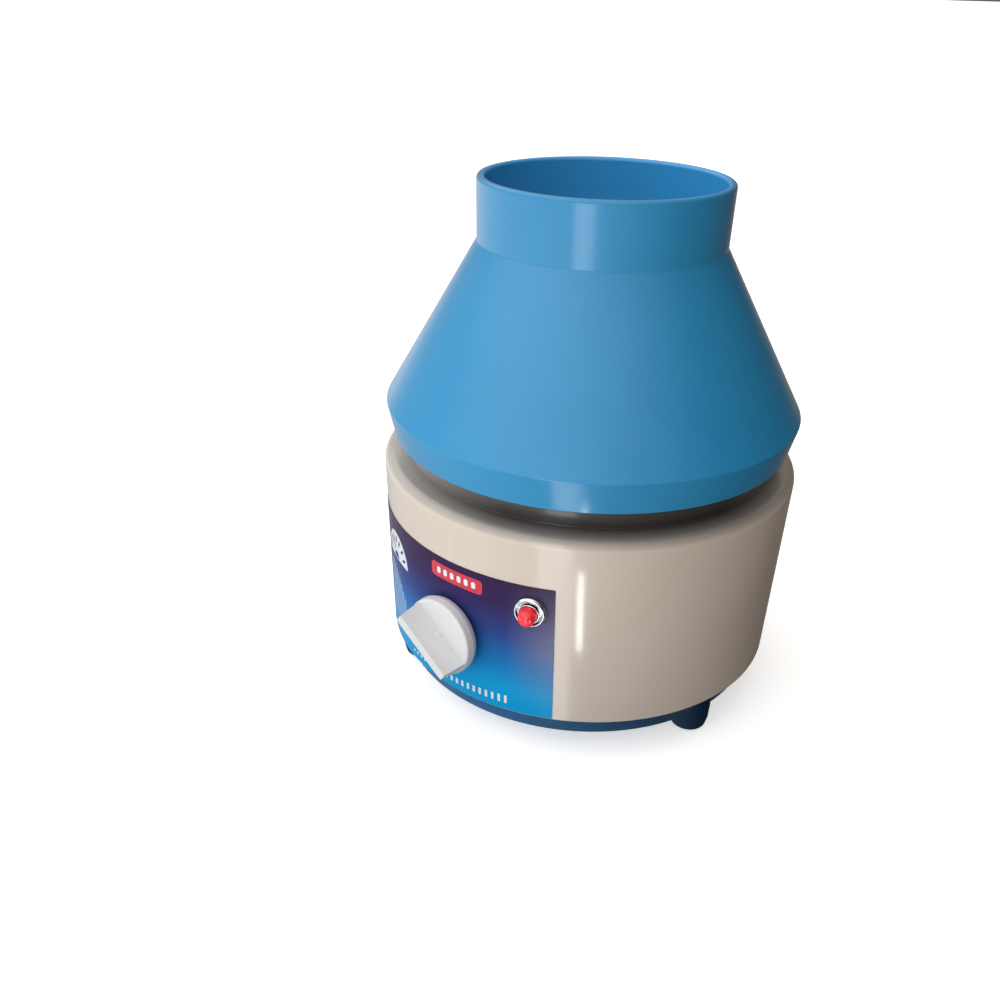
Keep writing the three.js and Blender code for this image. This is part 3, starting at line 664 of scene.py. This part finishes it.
def mesh_object(name, bm):
    bmesh.ops.remove_doubles(bm, verts=bm.verts, dist=1e-4)
    bmesh.ops.recalc_face_normals(bm, faces=bm.faces)
    mesh = bpy.data.meshes.new(name)
    bm.to_mesh(mesh)
    bm.free()
    made = bpy.data.objects.new(name, mesh)
    bpy.context.scene.collection.objects.link(made)
    return made


def drill(radius, low, high, place, segments=PART_SEGMENTS):
    """A round tool between two levels, taken to its place."""
    rod = spun([(0, low), (radius, low), (radius, high), (0, high)], segments)
    return mesh_object("hole", moved(rod, place))


def applied(made):
    """Applies every modifier of an object and leaves its mesh as a plain one."""
    bpy.context.view_layer.update()
    evaluated = made.evaluated_get(bpy.context.evaluated_depsgraph_get())
    mesh = bpy.data.meshes.new_from_object(evaluated)
    made.modifiers.clear()
    made.data = mesh
    return made


def combined(base, tools, operation):
    """Cuts tools from an object, or joins them to it, and removes the tools."""
    for tool in tools:
        modifier = base.modifiers.new("tool", "BOOLEAN")
        modifier.operation = operation
        modifier.solver = "EXACT"
        modifier.object = tool
    applied(base)
    for tool in tools:
        bpy.data.objects.remove(tool)
    return base


def bevelled(made, width, segments=3, angle=30.0):
    modifier = made.modifiers.new("bevel", "BEVEL")
    modifier.width = width
    modifier.segments = segments
    modifier.limit_method = "ANGLE"
    modifier.angle_limit = math.radians(angle)
    modifier.use_clamp_overlap = True
    modifier.harden_normals = False
    return applied(made)


def finished(made, slot, body, *replaced, look=None):
    """Scales a piece from millimetres to metres, shades it and hands it to the frame."""
    made.data.transform(Matrix.Scale(MM, 4))
    made.data.materials.clear()
    made.data.materials.append(look or LOOKS[slot])
    made.data.polygons.foreach_set("use_smooth", [True] * len(made.data.polygons))
    made.data.set_sharp_from_angle(angle=math.radians(38))
    normals = made.modifiers.new("normals", "WEIGHTED_NORMAL")
    normals.keep_sharp = True
    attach(made, body)
    if replaced:
        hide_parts(*replaced)
    return made


# ---- Shells ---------------------------------------------------------------------------------


def make_guard():
    slope = Vector((GUARD_R - NECK_FOOT_R, GUARD_EDGE_Z - NECK_Z)).normalized()
    inner_edge = Vector((GUARD_R, GUARD_EDGE_Z)) + GUARD_WALL * Vector((slope.y, -slope.x))
    neck_inner = NECK_FOOT_R - GUARD_WALL
    inner_neck_z = inner_edge.y + (neck_inner - inner_edge.x) * slope.y / slope.x
    seat_r = PLATFORM_R + 0.5
    flange_z = GUARD_FOOT_Z + 3.2
    lip = (NECK_R - neck_inner) * 0.42
    outline = rounded(
        [
            (seat_r, GUARD_FOOT_Z, 0.4),
            (GUARD_FOOT_R, GUARD_FOOT_Z, 1.2),
            (GUARD_R, GUARD_EDGE_Z, 1.0),
            (NECK_FOOT_R, NECK_Z, 1.4),
            (NECK_R, RIM_Z, lip),
            (neck_inner, RIM_Z, lip),
            (neck_inner, inner_neck_z, 2.0),
            (inner_edge.x, inner_edge.y, 2.0),
            (GUARD_FOOT_R - 3.2, flange_z, 2.0),
            (seat_r, flange_z, 0.6),
        ]
    )
    made = mesh_object("guard_shell", turned(outline, even(SHELL_SEGMENTS)))
    return finished(made, "guard_blue", "guard", "guard")


def make_housing():
    centre = (HOUSING_R - SHOULDER_ROUND, SHOULDER_Z)
    corners = [(HOUSING_FOOT_R, HOUSING_FOOT_Z, 0.5)]
    corners += [(housing_radius(z), z, 0) for z in (HOUSING_FOOT_Z + 1.0, 60, 100)]
    corners += arc(centre, SHOULDER_ROUND, 0, 90, 12)
    corners += [
        (SEAT_R, DECK_Z, 0.4),
        (SEAT_R, SEAT_Z, 0.4),
        (PLATFORM_R, SEAT_Z, 0.3),
        (PLATFORM_R, PLATFORM_Z, 1.0),
        (COLLAR_R + 3, PLATFORM_Z, 1.0),
        (COLLAR_R, COLLAR_Z, 0.8),
        (PLATFORM_HOLE_R, COLLAR_Z, 0.5),
        (PLATFORM_HOLE_R, PLATFORM_Z - HOUSING_WALL, 0.5),
        (PLATFORM_R - HOUSING_WALL, PLATFORM_Z - HOUSING_WALL, 1.0),
        (SEAT_R - HOUSING_WALL, SEAT_Z - HOUSING_WALL, 1.0),
        (SEAT_R - HOUSING_WALL, DECK_Z - HOUSING_WALL, 1.0),
    ]
    corners += arc(centre, SHOULDER_ROUND - HOUSING_WALL, 90, 0, 6)
    corners += [(HOUSING_FOOT_R - HOUSING_WALL, HOUSING_FOOT_Z, 0.4)]
    outline = rounded(corners, steps=4)
    made = mesh_object("housing_shell", turned(outline, even(SHELL_SEGMENTS)))
    holes = [
        drill(radius, 100, 130, outwards(azimuth, z))
        for radius, azimuth, z in (
            (4.9, 0, CONTROL_Z),
            (6.3, LAMP_AZIMUTH, LAMP_Z),
            (8.4, GLAND_AZIMUTH, GLAND_Z),
            (6.4, FUSE_AZIMUTH, FUSE_Z),
        )
    ]
    combined(made, holes, "DIFFERENCE")
    bosses = [
        mesh_object("boss", moved(turned([(1.9, 17.3), (5.5, 17.3), (5.5, 58), (1.9, 58)]),
                                  around(azimuth, SCREW_PITCH_R)))
        for azimuth in SCREW_AZIMUTHS
    ]
    combined(made, bosses, "UNION")
    return finished(made, "ivory", "base", "housing")


def make_pan():
    floor = PAN_Z + PAN_FLOOR
    corners = [(PAN_VENT_R, PAN_Z, 0.8), (PAN_FOOT_R - 26, PAN_Z, 0), (PAN_FOOT_R - 24.5, PAN_Z + 0.7, 0.3)]
    corners += [(PAN_FOOT_R - 22.5, PAN_Z + 0.7, 0.3), (PAN_FOOT_R - 21, PAN_Z, 0)]
    corners += [
        (PAN_FOOT_R + 1.2, PAN_Z, 2.4),
        (PAN_R - 0.6, FOOT_LIP_Z, 6.0),
        (PAN_R, PAN_RIM_Z, 0.2),
        (SPIGOT_R[1], PAN_RIM_Z, 0.3),
        (SPIGOT_R[1], SPIGOT_TOP, 0.6),
        (SPIGOT_R[0], SPIGOT_TOP, 0.6),
        (SPIGOT_R[0], PAN_RIM_Z + 2, 1.0),
        (PAN_INSIDE_R, PAN_RIM_Z, 1.0),
        (PAN_INSIDE_R, floor, 1.5),
        (PAN_VENT_R, floor, 0.8),
    ]
    made = mesh_object("pan_shell", turned(rounded(corners, steps=4), even(SHELL_SEGMENTS)))
    holes = [drill(2.3, 0, 40, around(azimuth, FOOT_PITCH_R)) for azimuth in FOOT_AZIMUTHS]
    holes += [drill(1.9, 0, 40, around(azimuth, SCREW_PITCH_R)) for azimuth in SCREW_AZIMUTHS]
    combined(made, holes, "DIFFERENCE")
    return finished(made, "pan_blue", "base", "base_pan")


def make_foot(number, azimuth):
    """A round foot that flares under the pan's floor and laps up the pan's side."""
    outline = rounded(
        [
            (5.2, 0, 0.6),
            (FOOT_R - 1.6, 0, 3.6),
            (FOOT_R, 7, 5.0),
            (FOOT_R, 10, 2.0),
            (FOOT_R + 3.2, PAN_Z, 0),
            (FOOT_R, FOOT_LIP_Z, 0.5),
            (2.4, FOOT_LIP_Z, 0),
            (2.4, 6, 0.2),
            (5.2, 6, 0.5),
        ]
    )

    def inner_flare(turn, r, _):
        if r <= FOOT_R:
            return r
        return FOOT_R + (r - FOOT_R) * (0.5 - 0.5 * math.cos(math.radians(turn)))

    column = turned(outline, even(PART_SEGMENTS), shape=inner_flare)
    made = mesh_object(f"foot_{number}_moulding", moved(column, around(azimuth, FOOT_PITCH_R)))
    side = [(PAN_FOOT_R + 1.2, PAN_Z, 2.4), (PAN_R - 0.6, FOOT_LIP_Z, 6.0), (PAN_R, PAN_RIM_Z, 0)]
    room = [(0, PAN_Z - 0.2, 0)] + [(r + 0.2, z - 0.2, rounding) for r, z, rounding in side]
    envelope = spun(room + [(0, PAN_RIM_Z - 0.2, 0)], SHELL_SEGMENTS)
    combined(made, [mesh_object("envelope", envelope)], "DIFFERENCE")
    return finished(made, "pan_blue", "base", f"foot_{number}", look=FOOT_BLUE)


def make_screw(name, node, azimuth, pitch, head_r, seat_z, shank_r, length):
    """A cross-head screw that rises into the body, head down."""
    head_height = 2.4
    corners = [
        (0, seat_z - head_height, 0),
        (head_r * 0.62, seat_z - head_height, 1.2),
        (head_r, seat_z - head_height * 0.45, 0.6),
        (head_r, seat_z, 0.1),
        (shank_r, seat_z, 0.2),
        (shank_r, seat_z + length - 1.5, 0.3),
        (shank_r * 0.4, seat_z + length, 0.2),
        (0, seat_z + length, 0),
    ]
    made = mesh_object(name, spun(corners, 48))
    arm, half = head_r * 0.52, 0.42
    slots = []
    for turn in (0, 90):
        bar = prism([(-arm, -half), (arm, -half), (arm, half), (-arm, half)],
                    seat_z - head_height - 1, seat_z - head_height + 1.3)
        slots.append(mesh_object("slot", moved(bar, Matrix.Rotation(math.radians(turn + 20), 4, "Z"))))
    combined(made, slots, "DIFFERENCE")
    made.data.transform(around(azimuth, pitch))
    return finished(made, "steel", "base", node)


# ---- Control label ----------------------------------------------------------------------------

FILM_THICKNESS = 0.3
FILM_LIFT = 0.33  # of the film's face, from the housing's side


def on_panel(x, z, lift):
    """A point on the panel: x is the arc length from the knob's azimuth, z the height."""
    radius = housing_radius(z) + FILM_LIFT + lift
    return at(math.degrees(x / housing_radius(z)), radius, z)


def wrapped(bm_flat, low, high):
    """Wraps a flat mesh, whose x and y are arc length and height, round the panel as a thin solid."""
    reach = [vertex.co.x for vertex in bm_flat.verts]
    cut_at = math.ceil(min(reach) / 2) * 2.0
    while cut_at < max(reach):
        geometry = bm_flat.verts[:] + bm_flat.edges[:] + bm_flat.faces[:]
        bmesh.ops.bisect_plane(bm_flat, geom=geometry, plane_co=(cut_at, 0, 0), plane_no=(1, 0, 0))
        cut_at += 2.0
    bm = bmesh.new()
    layers = []
    for lift in (low, high):
        layers.append({v: bm.verts.new(on_panel(v.co.x, v.co.y, lift)) for v in bm_flat.verts})
    for face in bm_flat.faces:
        bm.faces.new([layers[0][v] for v in reversed(face.verts)])
        bm.faces.new([layers[1][v] for v in face.verts])
    for edge in bm_flat.edges:
        if len(edge.link_faces) == 1:
            first, second = edge.verts
            bm.faces.new((layers[0][first], layers[0][second], layers[1][second], layers[1][first]))
    bm_flat.free()
    return bm


def flat(outlines):
    """A flat mesh of one or more outlines of (x, z) points."""
    bm = bmesh.new()
    for points in outlines:
        bm.faces.new([bm.verts.new((x, z, 0)) for x, z in points])
    bmesh.ops.recalc_face_normals(bm, faces=bm.faces)
    return bm


def rounded_bar(x0, x1, z0, z1, radius, steps=6):
    corners = [(x0, z0, radius), (x1, z0, radius), (x1, z1, radius), (x0, z1, radius)]
    return [tuple(point) for point in rounded(corners, steps=steps)]


def disc(centre, radius, start=0.0, end=360.0, count=40):
    closed = end - start >= 360
    steps = count if closed else count + 1
    return [
        (
            centre[0] + radius * math.cos(math.radians(start + (end - start) * i / count)),
            centre[1] + radius * math.sin(math.radians(start + (end - start) * i / count)),
        )
        for i in range(steps)
    ]


def make_label():
    low, high = LABEL_LEVELS
    edges = [math.radians(edge) * housing_radius((low + high) / 2) for edge in LABEL_EDGES]
    sheet = flat([rounded_bar(edges[0], edges[1], low - 1.8, high, 0.8, 3)])
    made = mesh_object("label_sheet", wrapped(sheet, -FILM_THICKNESS, 0))
    holes = [
        drill(radius, 100, 130, outwards(azimuth, z))
        for radius, azimuth, z in ((5.2, 0, CONTROL_Z), (6.4, LAMP_AZIMUTH, LAMP_Z))
    ]
    combined(made, holes, "DIFFERENCE")
    return finished(made, "label_film", "base", "control_label")


def make_mark(name, outlines, ink, low=0.0, high=0.05):
    made = mesh_object(name, wrapped(flat(outlines), low, high))
    return finished(made, "label_film", "base", look=ink)


def make_marks():
    """Generic printed marks where the panel carries its printing."""
    badge = 4.6
    make_mark("badge_field", [rounded_bar(badge - 18, badge + 18, 100.6, 109.6, 2.2)], RED_INK)
    bars = []
    for i in range(6):
        x = badge - 13.4 + 4.9 * i
        bars.append(rounded_bar(x, x + 2.6, 103.2, 107.2, 0.9, 3))
    make_mark("badge_bars", bars, WHITE_INK, 0.05, 0.09)
    count = 19
    ramp = []
    for i in range(count):
        x = -36.5 + 73 * i / (count - 1)
        ramp.append(rounded_bar(x - 0.8, x + 0.8, 33.0, 34.6 + 3.8 * i / (count - 1), 0.4, 2))
    make_mark("speed_ramp", ramp, WHITE_INK)
    gauge = Vector((-58.0, 87.0))
    make_mark("gauge_field", [disc(gauge, 17.5, 0, 180, 36)], WHITE_INK)
    ticks = [disc(gauge + Vector((0, 0.8)), 4.0, 0, 180, 16)]
    for i in range(7):
        turn = math.radians(18 + 24 * i)
        along = Vector((math.cos(turn), math.sin(turn)))
        side = Vector((-along.y, along.x)) * 0.9
        inner = 6.0 if i == 4 else 11.0
        corners = [gauge + along * inner + side, gauge + along * 15 + side,
                   gauge + along * 15 - side, gauge + along * inner - side]
        ticks.append([tuple(point) for point in corners])
    make_mark("gauge_ticks", ticks, LOOKS["label_film"], 0.05, 0.09)
    wedge = []
    for i in range(10):
        x = -73 + 2.8 * i
        top = 82.0 - 0.22 * i * i
        wedge.append([(x, 44), (x + 1.7, 44), (x + 1.7, top - 0.3), (x, top)])
    make_mark("gauge_wedge", wedge, SKY_INK)


# ---- Controls -----------------------------------------------------------------------------------


def make_knob():
    corners = [
        (0, KNOB_BACK, 0), (KNOB_R - 1.4, KNOB_BACK, 0.8), (KNOB_R, KNOB_BACK + 3.4, 1.0),
        (KNOB_R - 0.3, KNOB_FACE, 1.6), (0, KNOB_FACE, 0),
    ]
    made = mesh_object("knob_moulding", spun(corners, PART_SEGMENTS))
    foot, top = 5.8, 2.6
    height = KNOB_REACH - KNOB_FACE + 1.5
    section = [(-foot - 0.3, 0), (foot + 0.3, 0), (top, height), (-top, height)]
    bar = prism(section, -KNOB_R - 2, KNOB_R + 2)
    bar = moved(bar, Matrix.Translation((0, 0, KNOB_FACE - 1.5)) @ Matrix.Rotation(math.pi / 2, 4, "X"))
    bar = moved(bar, Matrix.Rotation(math.pi / 2, 4, "Z"))
    grip = mesh_object("grip", bar)
    low, high = KNOB_FACE - 3, KNOB_REACH + 1
    ends = spun([(0, low), (KNOB_R - 0.5, low), (KNOB_R - 2.6, high), (0, high)], PART_SEGMENTS)
    combined(grip, [mesh_object("ends", ends)], "INTERSECT")
    low = KNOB_FACE - 2
    boss = spun([(0, low, 0), (6.6, low, 0), (5.4, 133.8, 1.4), (0, 134.4, 0)], 64)
    combined(made, [grip, mesh_object("boss", boss)], "UNION")
    bevelled(made, 0.7, 3, 32)
    low, seat, bore = KNOB_BACK - 1, KNOB_BACK + 3.2, 3.3
    recess = [(0, low), (9.5, low), (9.5, seat), (bore, seat), (bore, 136.4), (0, 136.4)]
    combined(made, [mesh_object("recess", spun(recess, 64))], "DIFFERENCE")
    made.data.transform(outwards(0, CONTROL_Z) @ Matrix.Rotation(math.radians(KNOB_TILT), 4, "Z"))
    return finished(made, "knob_white", "knob", "control_knob")


def make_lamp():
    """A chrome bezel with a dished face, a sleeve in it, and a domed lens standing out of the sleeve."""
    place = outwards(LAMP_AZIMUTH, LAMP_Z)
    ring = turned(
        rounded([
            (5.2, 104, 0), (5.9, 104, 0.3), (5.9, 120.9, 0.2), (8.7, 120.9, 0.3), (8.7, 123.4, 0.8),
            (8.0, 124.7, 0.6), (7.3, 124.7, 0.5), (6.4, 121.6, 0.4), (5.8, 121.6, 0.2), (5.8, 125.6, 0.25),
            (5.2, 125.6, 0.25),
        ]),
        even(PART_SEGMENTS),
    )
    bezel = mesh_object("lamp_ring", ring)
    bevelled(bezel, 0.12, 2, 40)
    bezel.data.transform(place)
    finished(bezel, "chrome", "base", "lamp_bezel")
    radius, centre = 4.9, 128.2
    dome = arc((0, centre), radius, 0, 81, 9)
    corners = [(0, 117, 0), (radius, 117, 0.2)] + dome + [(0, centre + radius - 0.1, 0)]
    made = mesh_object("lamp_dome", moved(spun(corners, 64), place))
    finished(made, "lens_red", "base", "lamp_lens")


def fluted(outline, flutes, depth, low, high, segments):
    """A turned mesh whose outer wall between two levels is fluted for grip."""
    outer = max(r for r, _ in outline)

    def shape(azimuth, r, z):
        if r < outer - 1.2 or not low <= z <= high:
            return r
        return r - depth * (0.5 + 0.5 * math.cos(math.radians(azimuth * flutes)))

    return turned(outline, even(segments), shape=shape)


def make_gland():
    place = outwards(GLAND_AZIMUTH, GLAND_Z)
    body = mesh_object("gland_thread", turned(rounded([
        (3.8, 104, 0.3), (8, 104, 0.4), (8, 119.4, 0), (9.5, 119.4, 0), (9.5, 119.8, 0),
        (7.2, 119.8, 0), (7.2, 133, 0.4), (3.8, 133, 0.4),
    ]), even(64)))
    flange = mesh_object("flange", prism(regular(6, 12.0, 30), 119.2, 122))
    edge = spun([(0, 118.8), (10.9, 118.9), (11.0, 121.2), (10.0, 122.3), (0, 122.6)], 64)
    combined(flange, [mesh_object("edge", edge)], "INTERSECT")
    combined(body, [flange], "UNION")
    combined(body, [drill(3.8, 100, 140, Matrix.Identity(4), 64)], "DIFFERENCE")
    bevelled(body, 0.25, 2, 35)
    body.data.transform(place)
    finished(body, "black_plastic", "base", "gland_body")
    outline = rounded([
        (7.6, 122.3, 0.3), (10.4, 122.3, 0.5), (10.4, 134.5, 1.0), (8.6, 140.6, 2.0),
        (6, GLAND_REACH, 0.6), (3.8, GLAND_REACH, 0.5), (3.8, 133.3, 0), (7.6, 133.3, 0.2),
    ], steps=5)
    cap = fluted(outline, 18, 0.7, 123.2, 134.2, 144)
    made = mesh_object("gland_dome", moved(cap, place))
    finished(made, "black_plastic", "base", "gland_cap")


def make_fuse():
    place = outwards(FUSE_AZIMUTH, FUSE_Z)
    face = 121.3
    body = spun([
        (0, 92, 0), (6, 92, 0.4), (6, face - 1.8, 0), (8.4, face - 1.8, 0.3), (8.4, face, 0.7),
        (3.6, face, 0.3), (3.6, 95, 0), (0, 95, 0),
    ], 64)
    made = mesh_object("fuse_socket", moved(body, place))
    finished(made, "black_plastic", "base", "fuse_holder")
    outline = rounded([
        (0, 116.4, 0), (3, 116.4, 0.3), (3, face + 0.3, 0), (6.4, face + 0.3, 0.3), (6.4, 125.2, 0.8),
        (5.2, 126.3, 0.4), (0, 126.3, 0),
    ], closed=False)

    def grip(azimuth, r, z):
        if r < 5.8 or not 121.9 < z < 125.4:
            return r
        return r - 0.35 * (0.5 + 0.5 * math.cos(math.radians(azimuth * 20)))

    cap = mesh_object("fuse_knob", turned(outline, even(120), closed=False, shape=grip))
    wing = mesh_object("wing", prism(rounded_bar(-5.2, 5.2, -1.0, 1.0, 0.8, 4), 125.2, 128))
    combined(cap, [wing], "UNION")
    bevelled(cap, 0.2, 2, 50)
    cap.data.transform(place)
    finished(cap, "black_plastic", "fuse_cap", "fuse_cap")


# ---- Rotor --------------------------------------------------------------------------------------


def beside_shield(s, t):
    """A point s below a shield's mouth along its axis and t outwards across it, as (r, z)."""
    tilt = math.radians(SHIELD_TILT)
    r = MOUTH_R + s * math.sin(tilt) + t * math.cos(tilt)
    return r, MOUTH_Z - s * math.cos(tilt) + t * math.sin(tilt)


def make_head():
    bore = 5.3
    corners = [
        (bore, HEAD_BOSS_Z, 0.4), (15, HEAD_BOSS_Z, 1.0), (17, 214, 2.0),
        (*beside_shield(12, -22), 1.5), (*beside_shield(12, 18), 1.2), (*beside_shield(3, 18), 1.2),
        (*beside_shield(3, -22), 1.5), (14, HEAD_TOP_Z, 0.8), (bore, HEAD_TOP_Z, 0.4),
    ]
    made = mesh_object("head_plate", turned(rounded(corners), even(144)))
    holes = []
    for i in range(SHIELDS):
        for radius, start in ((SHIELD_R + 0.5, 20), (SHIELD_R + 2.8, SHIELD_LENGTH - 3)):
            holes.append(drill(radius, start, 110, in_head(360 * i / SHIELDS), 64))
    combined(made, holes, "DIFFERENCE")
    bevelled(made, 0.35, 2, 40)
    return finished(made, "aluminium", "rotor", "rotor_head", look=TURNED_ALUMINIUM)


def make_rotor_nut():
    hexagon = mesh_object("nut_moulding", prism(regular(6, 9.5, 0), HEAD_TOP_Z + 0.3, 234))
    ball = spun([(0, 224, 0), (9.2, 225.5, 0), (9.4, 231.6, 1.5), (7.2, 234.2, 0), (0, 234.4, 0)], 64)
    combined(hexagon, [mesh_object("chamfer", ball)], "INTERSECT")
    bore = spun([(0, 220), (4.3, 220), (4.3, 233.2), (5.0, 235), (0, 235)], 48)
    combined(hexagon, [mesh_object("bore", bore)], "DIFFERENCE")
    bevelled(hexagon, 0.25, 2, 35)
    return finished(hexagon, "chrome", "rotor", "rotor_nut")


def make_shield(number):
    inner = SHIELD_R - SHIELD_WALL
    flange = (SHIELD_LENGTH - 2.7, SHIELD_LENGTH - 0.9)
    rim = SHIELD_R + 1.9
    corners = [
        (0, 0, 0), (7.5, 0.2, 3.0), (SHIELD_R, 7, 3.0), (SHIELD_R, flange[0], 0.2),
        (rim, flange[0], 0.6), (rim, flange[1], 0.7), (SHIELD_R, flange[1] + 0.3, 0.3),
        (SHIELD_R, SHIELD_LENGTH, 0.45), (inner, SHIELD_LENGTH, 0.45), (inner, 7.4, 3.0),
        (6.6, 1.4, 2.5), (0, 1.2, 0),
    ]
    made = mesh_object(f"shield_{number}_tube", spun(corners, 64))
    made.data.transform(in_head(360 * (number - 1) / SHIELDS))
    return finished(made, "aluminium", "rotor", f"tube_shield_{number}")


def make_seal():
    bore, spigot, underside = 6.5, PLATFORM_HOLE_R - 0.4, COLLAR_Z + 0.3
    corners = [
        (bore, 163, 0.4), (12, 162, 0.8), (12, 160, 0.5), (spigot, 160, 0.4),
        (spigot, underside, 0.2), (COLLAR_R, underside, 0.4), (COLLAR_R, COLLAR_Z + 1.8, 0.8),
        (24, COLLAR_Z + 2.3, 0.8), (22, COLLAR_Z + 1.2, 0.8), (20, COLLAR_Z + 2.4, 0.8),
        (17, COLLAR_Z + 1.0, 0.8), (14, COLLAR_Z + 1.4, 0.8), (bore, 166, 0.5),
    ]
    made = mesh_object("seal_ring", turned(rounded(corners, steps=4), even(PART_SEGMENTS)))
    return finished(made, "rubber", "base", "shaft_seal")


# ---- Building the object --------------------------------------------------------------------------

make_guard()
make_housing()
make_pan()
for number, azimuth in enumerate(FOOT_AZIMUTHS, 1):
    make_foot(number, azimuth)
    make_screw(f"foot_{number}_fixing", f"foot_screw_{number}", azimuth, FOOT_PITCH_R, 4.2, 5.7, 2.0, 19)
for number, azimuth in enumerate(SCREW_AZIMUTHS, 1):
    make_screw(f"housing_{number}_fixing", f"housing_screw_{number}", azimuth, SCREW_PITCH_R, 3.6,
               PAN_Z - 0.3, 1.6, 32)
make_label()
make_marks()
make_knob()
make_lamp()
make_gland()
make_fuse()
make_head()
make_rotor_nut()
for number in range(1, SHIELDS + 1):
    make_shield(number)
make_seal()

for row in frame["record"]["subparts"]:
    node = frame["nodes"][row["node"]]
    node.data.materials.clear()
    node.data.materials.append(LOOKS[row["material_slot"]])

# ---- Stage, light and camera ----------------------------------------------------------------------

CAMERA_AZIMUTH = 35.4
CAMERA_REACH, CAMERA_HEIGHT = 0.5563, 0.3908  # metres from the axis and above the bench
CAMERA_PITCH, CAMERA_YAW, CAMERA_ROLL = 0.4778, -0.0942, 0.0241  # radians
WINDOW_AZIMUTH = CAMERA_AZIMUTH - 75.0
SKY_LEVELS = (
    (0.0, 0.42), (0.22, 0.34), (0.32, 0.58), (0.42, 0.75), (0.46, 0.52),
    (0.52, 0.30), (0.64, 0.35), (0.76, 1.0), (1.0, 1.4),
)  # from straight down to straight up


def make_floor():
    look = Look("floor_paper", Roughness=0.9, Emission_Strength=0.62)
    paper = look.ramp(look.noise(3, 3, 0.5), (0.3, (0.86, 0.86, 0.86, 1)), (0.7, (0.9, 0.9, 0.9, 1)))
    look.colour(paper)
    look.join(paper, look.shader.inputs["Emission Color"])
    bm = bmesh.new()
    bmesh.ops.create_grid(bm, x_segments=8, y_segments=8, size=60.0)
    floor = mesh_object("floor", bm)
    floor.location.z = -0.0005
    floor.data.materials.append(look.material)
    floor.visible_diffuse = False
    floor.visible_glossy = False
    floor.visible_shadow = False


def area_light(name, place, target, size, watts, colour=(1, 1, 1)):
    data = bpy.data.lights.new(name, "AREA")
    data.shape = "RECTANGLE"
    data.size, data.size_y = size
    data.energy = watts
    data.color = colour
    light = bpy.data.objects.new(name, data)
    bpy.context.scene.collection.objects.link(light)
    light.location = place
    light.rotation_euler = (target - place).to_track_quat("-Z", "Y").to_euler()
    light.visible_camera = False
    return light


def reflected_panel(name, across, away, levels, lean, radiance):
    """A bright panel seen only in reflections, facing the axis from the camera's side, in metres.

    It spans the view from across[0] to across[1] and stands away from the axis. Its top leans
    to the right by lean degrees.
    """
    size = (across[1] - across[0], levels[1] - levels[0])
    side = at(CAMERA_AZIMUTH + 90, (across[0] + across[1]) / 2, 0)
    target = side + Vector((0, 0, (levels[0] + levels[1]) / 2))
    watts = radiance * math.pi * size[0] * size[1]
    light = area_light(name, at(CAMERA_AZIMUTH, away, 0) + target, target, size, watts)
    light.rotation_euler.rotate_axis("Z", math.radians(lean))
    light.visible_diffuse = False


def make_world():
    """A room lit by windows to the camera's left, with a bright ceiling and a bench in front."""
    world = bpy.data.worlds.new("studio")
    world.use_nodes = True
    sky = Nodes(world.node_tree, "Generated")
    height = sky.spread(sky.height(), 0, 1, -1, 1)
    levels = sky.ramp(height, *((place, (level, level, level, 1)) for place, level in SKY_LEVELS))
    window = sky.toward(sky.place, WINDOW_AZIMUTH)
    share = sky.spread(window, 0, 1, -1, 1)
    tint = sky.ramp(share, (0.0, (1.0, 0.79, 0.62, 1)), (0.6, (0.98, 0.99, 1.0, 1)))
    background = sky.tree.nodes["Background"]
    sky.join(sky.blend(1.0, levels, tint, "MULTIPLY"), background.inputs["Color"])
    sky.join(sky.spread(window, 0.12, 1.95, -0.8, 1.0), background.inputs["Strength"])
    bpy.context.scene.world = world


def make_camera():
    level_reach = math.cos(CAMERA_PITCH)
    forward = Vector((
        math.sin(CAMERA_YAW) * level_reach, math.cos(CAMERA_YAW) * level_reach, -math.sin(CAMERA_PITCH)
    ))
    right = forward.cross(Vector((0, 0, 1))).normalized()
    up = right.cross(forward)
    level = math.cos(CAMERA_ROLL) * right + math.sin(CAMERA_ROLL) * up
    above = math.cos(CAMERA_ROLL) * up - math.sin(CAMERA_ROLL) * right
    turn = Matrix.Rotation(math.radians(CAMERA_AZIMUTH), 3, "Z")
    axes = Matrix((turn @ level, turn @ above, turn @ -forward)).transposed()
    data = bpy.data.cameras.new("camera")
    data.sensor_width = 36
    data.lens = 36.05
    camera = bpy.data.objects.new("camera", data)
    bpy.context.scene.collection.objects.link(camera)
    place = at(CAMERA_AZIMUTH, CAMERA_REACH, CAMERA_HEIGHT)
    camera.matrix_world = Matrix.Translation(place) @ axes.to_4x4()
    bpy.context.scene.camera = camera


make_floor()
make_world()
reflected_panel("window", (-0.125, -0.022), 0.35, (-0.25, 0.3), 4.5, 2.5)
reflected_panel("window_edge", (-0.06, -0.022), 0.35, (-0.25, 0.3), 4.5, 4.4)
reflected_panel("lamp_strip", (0.0004, 0.0058), 0.16, (0.044, 0.099), 2.7, 13.0)
bench = at(CAMERA_AZIMUTH - 20, 0.75, 0.002)
bounce = area_light("bench", bench, bench + Vector((0, 0, 1)), (0.9, 0.9), 4.2, (1.0, 0.97, 0.94))
bounce.visible_glossy = False
make_camera()
bpy.context.scene.view_settings.view_transform = "Standard"
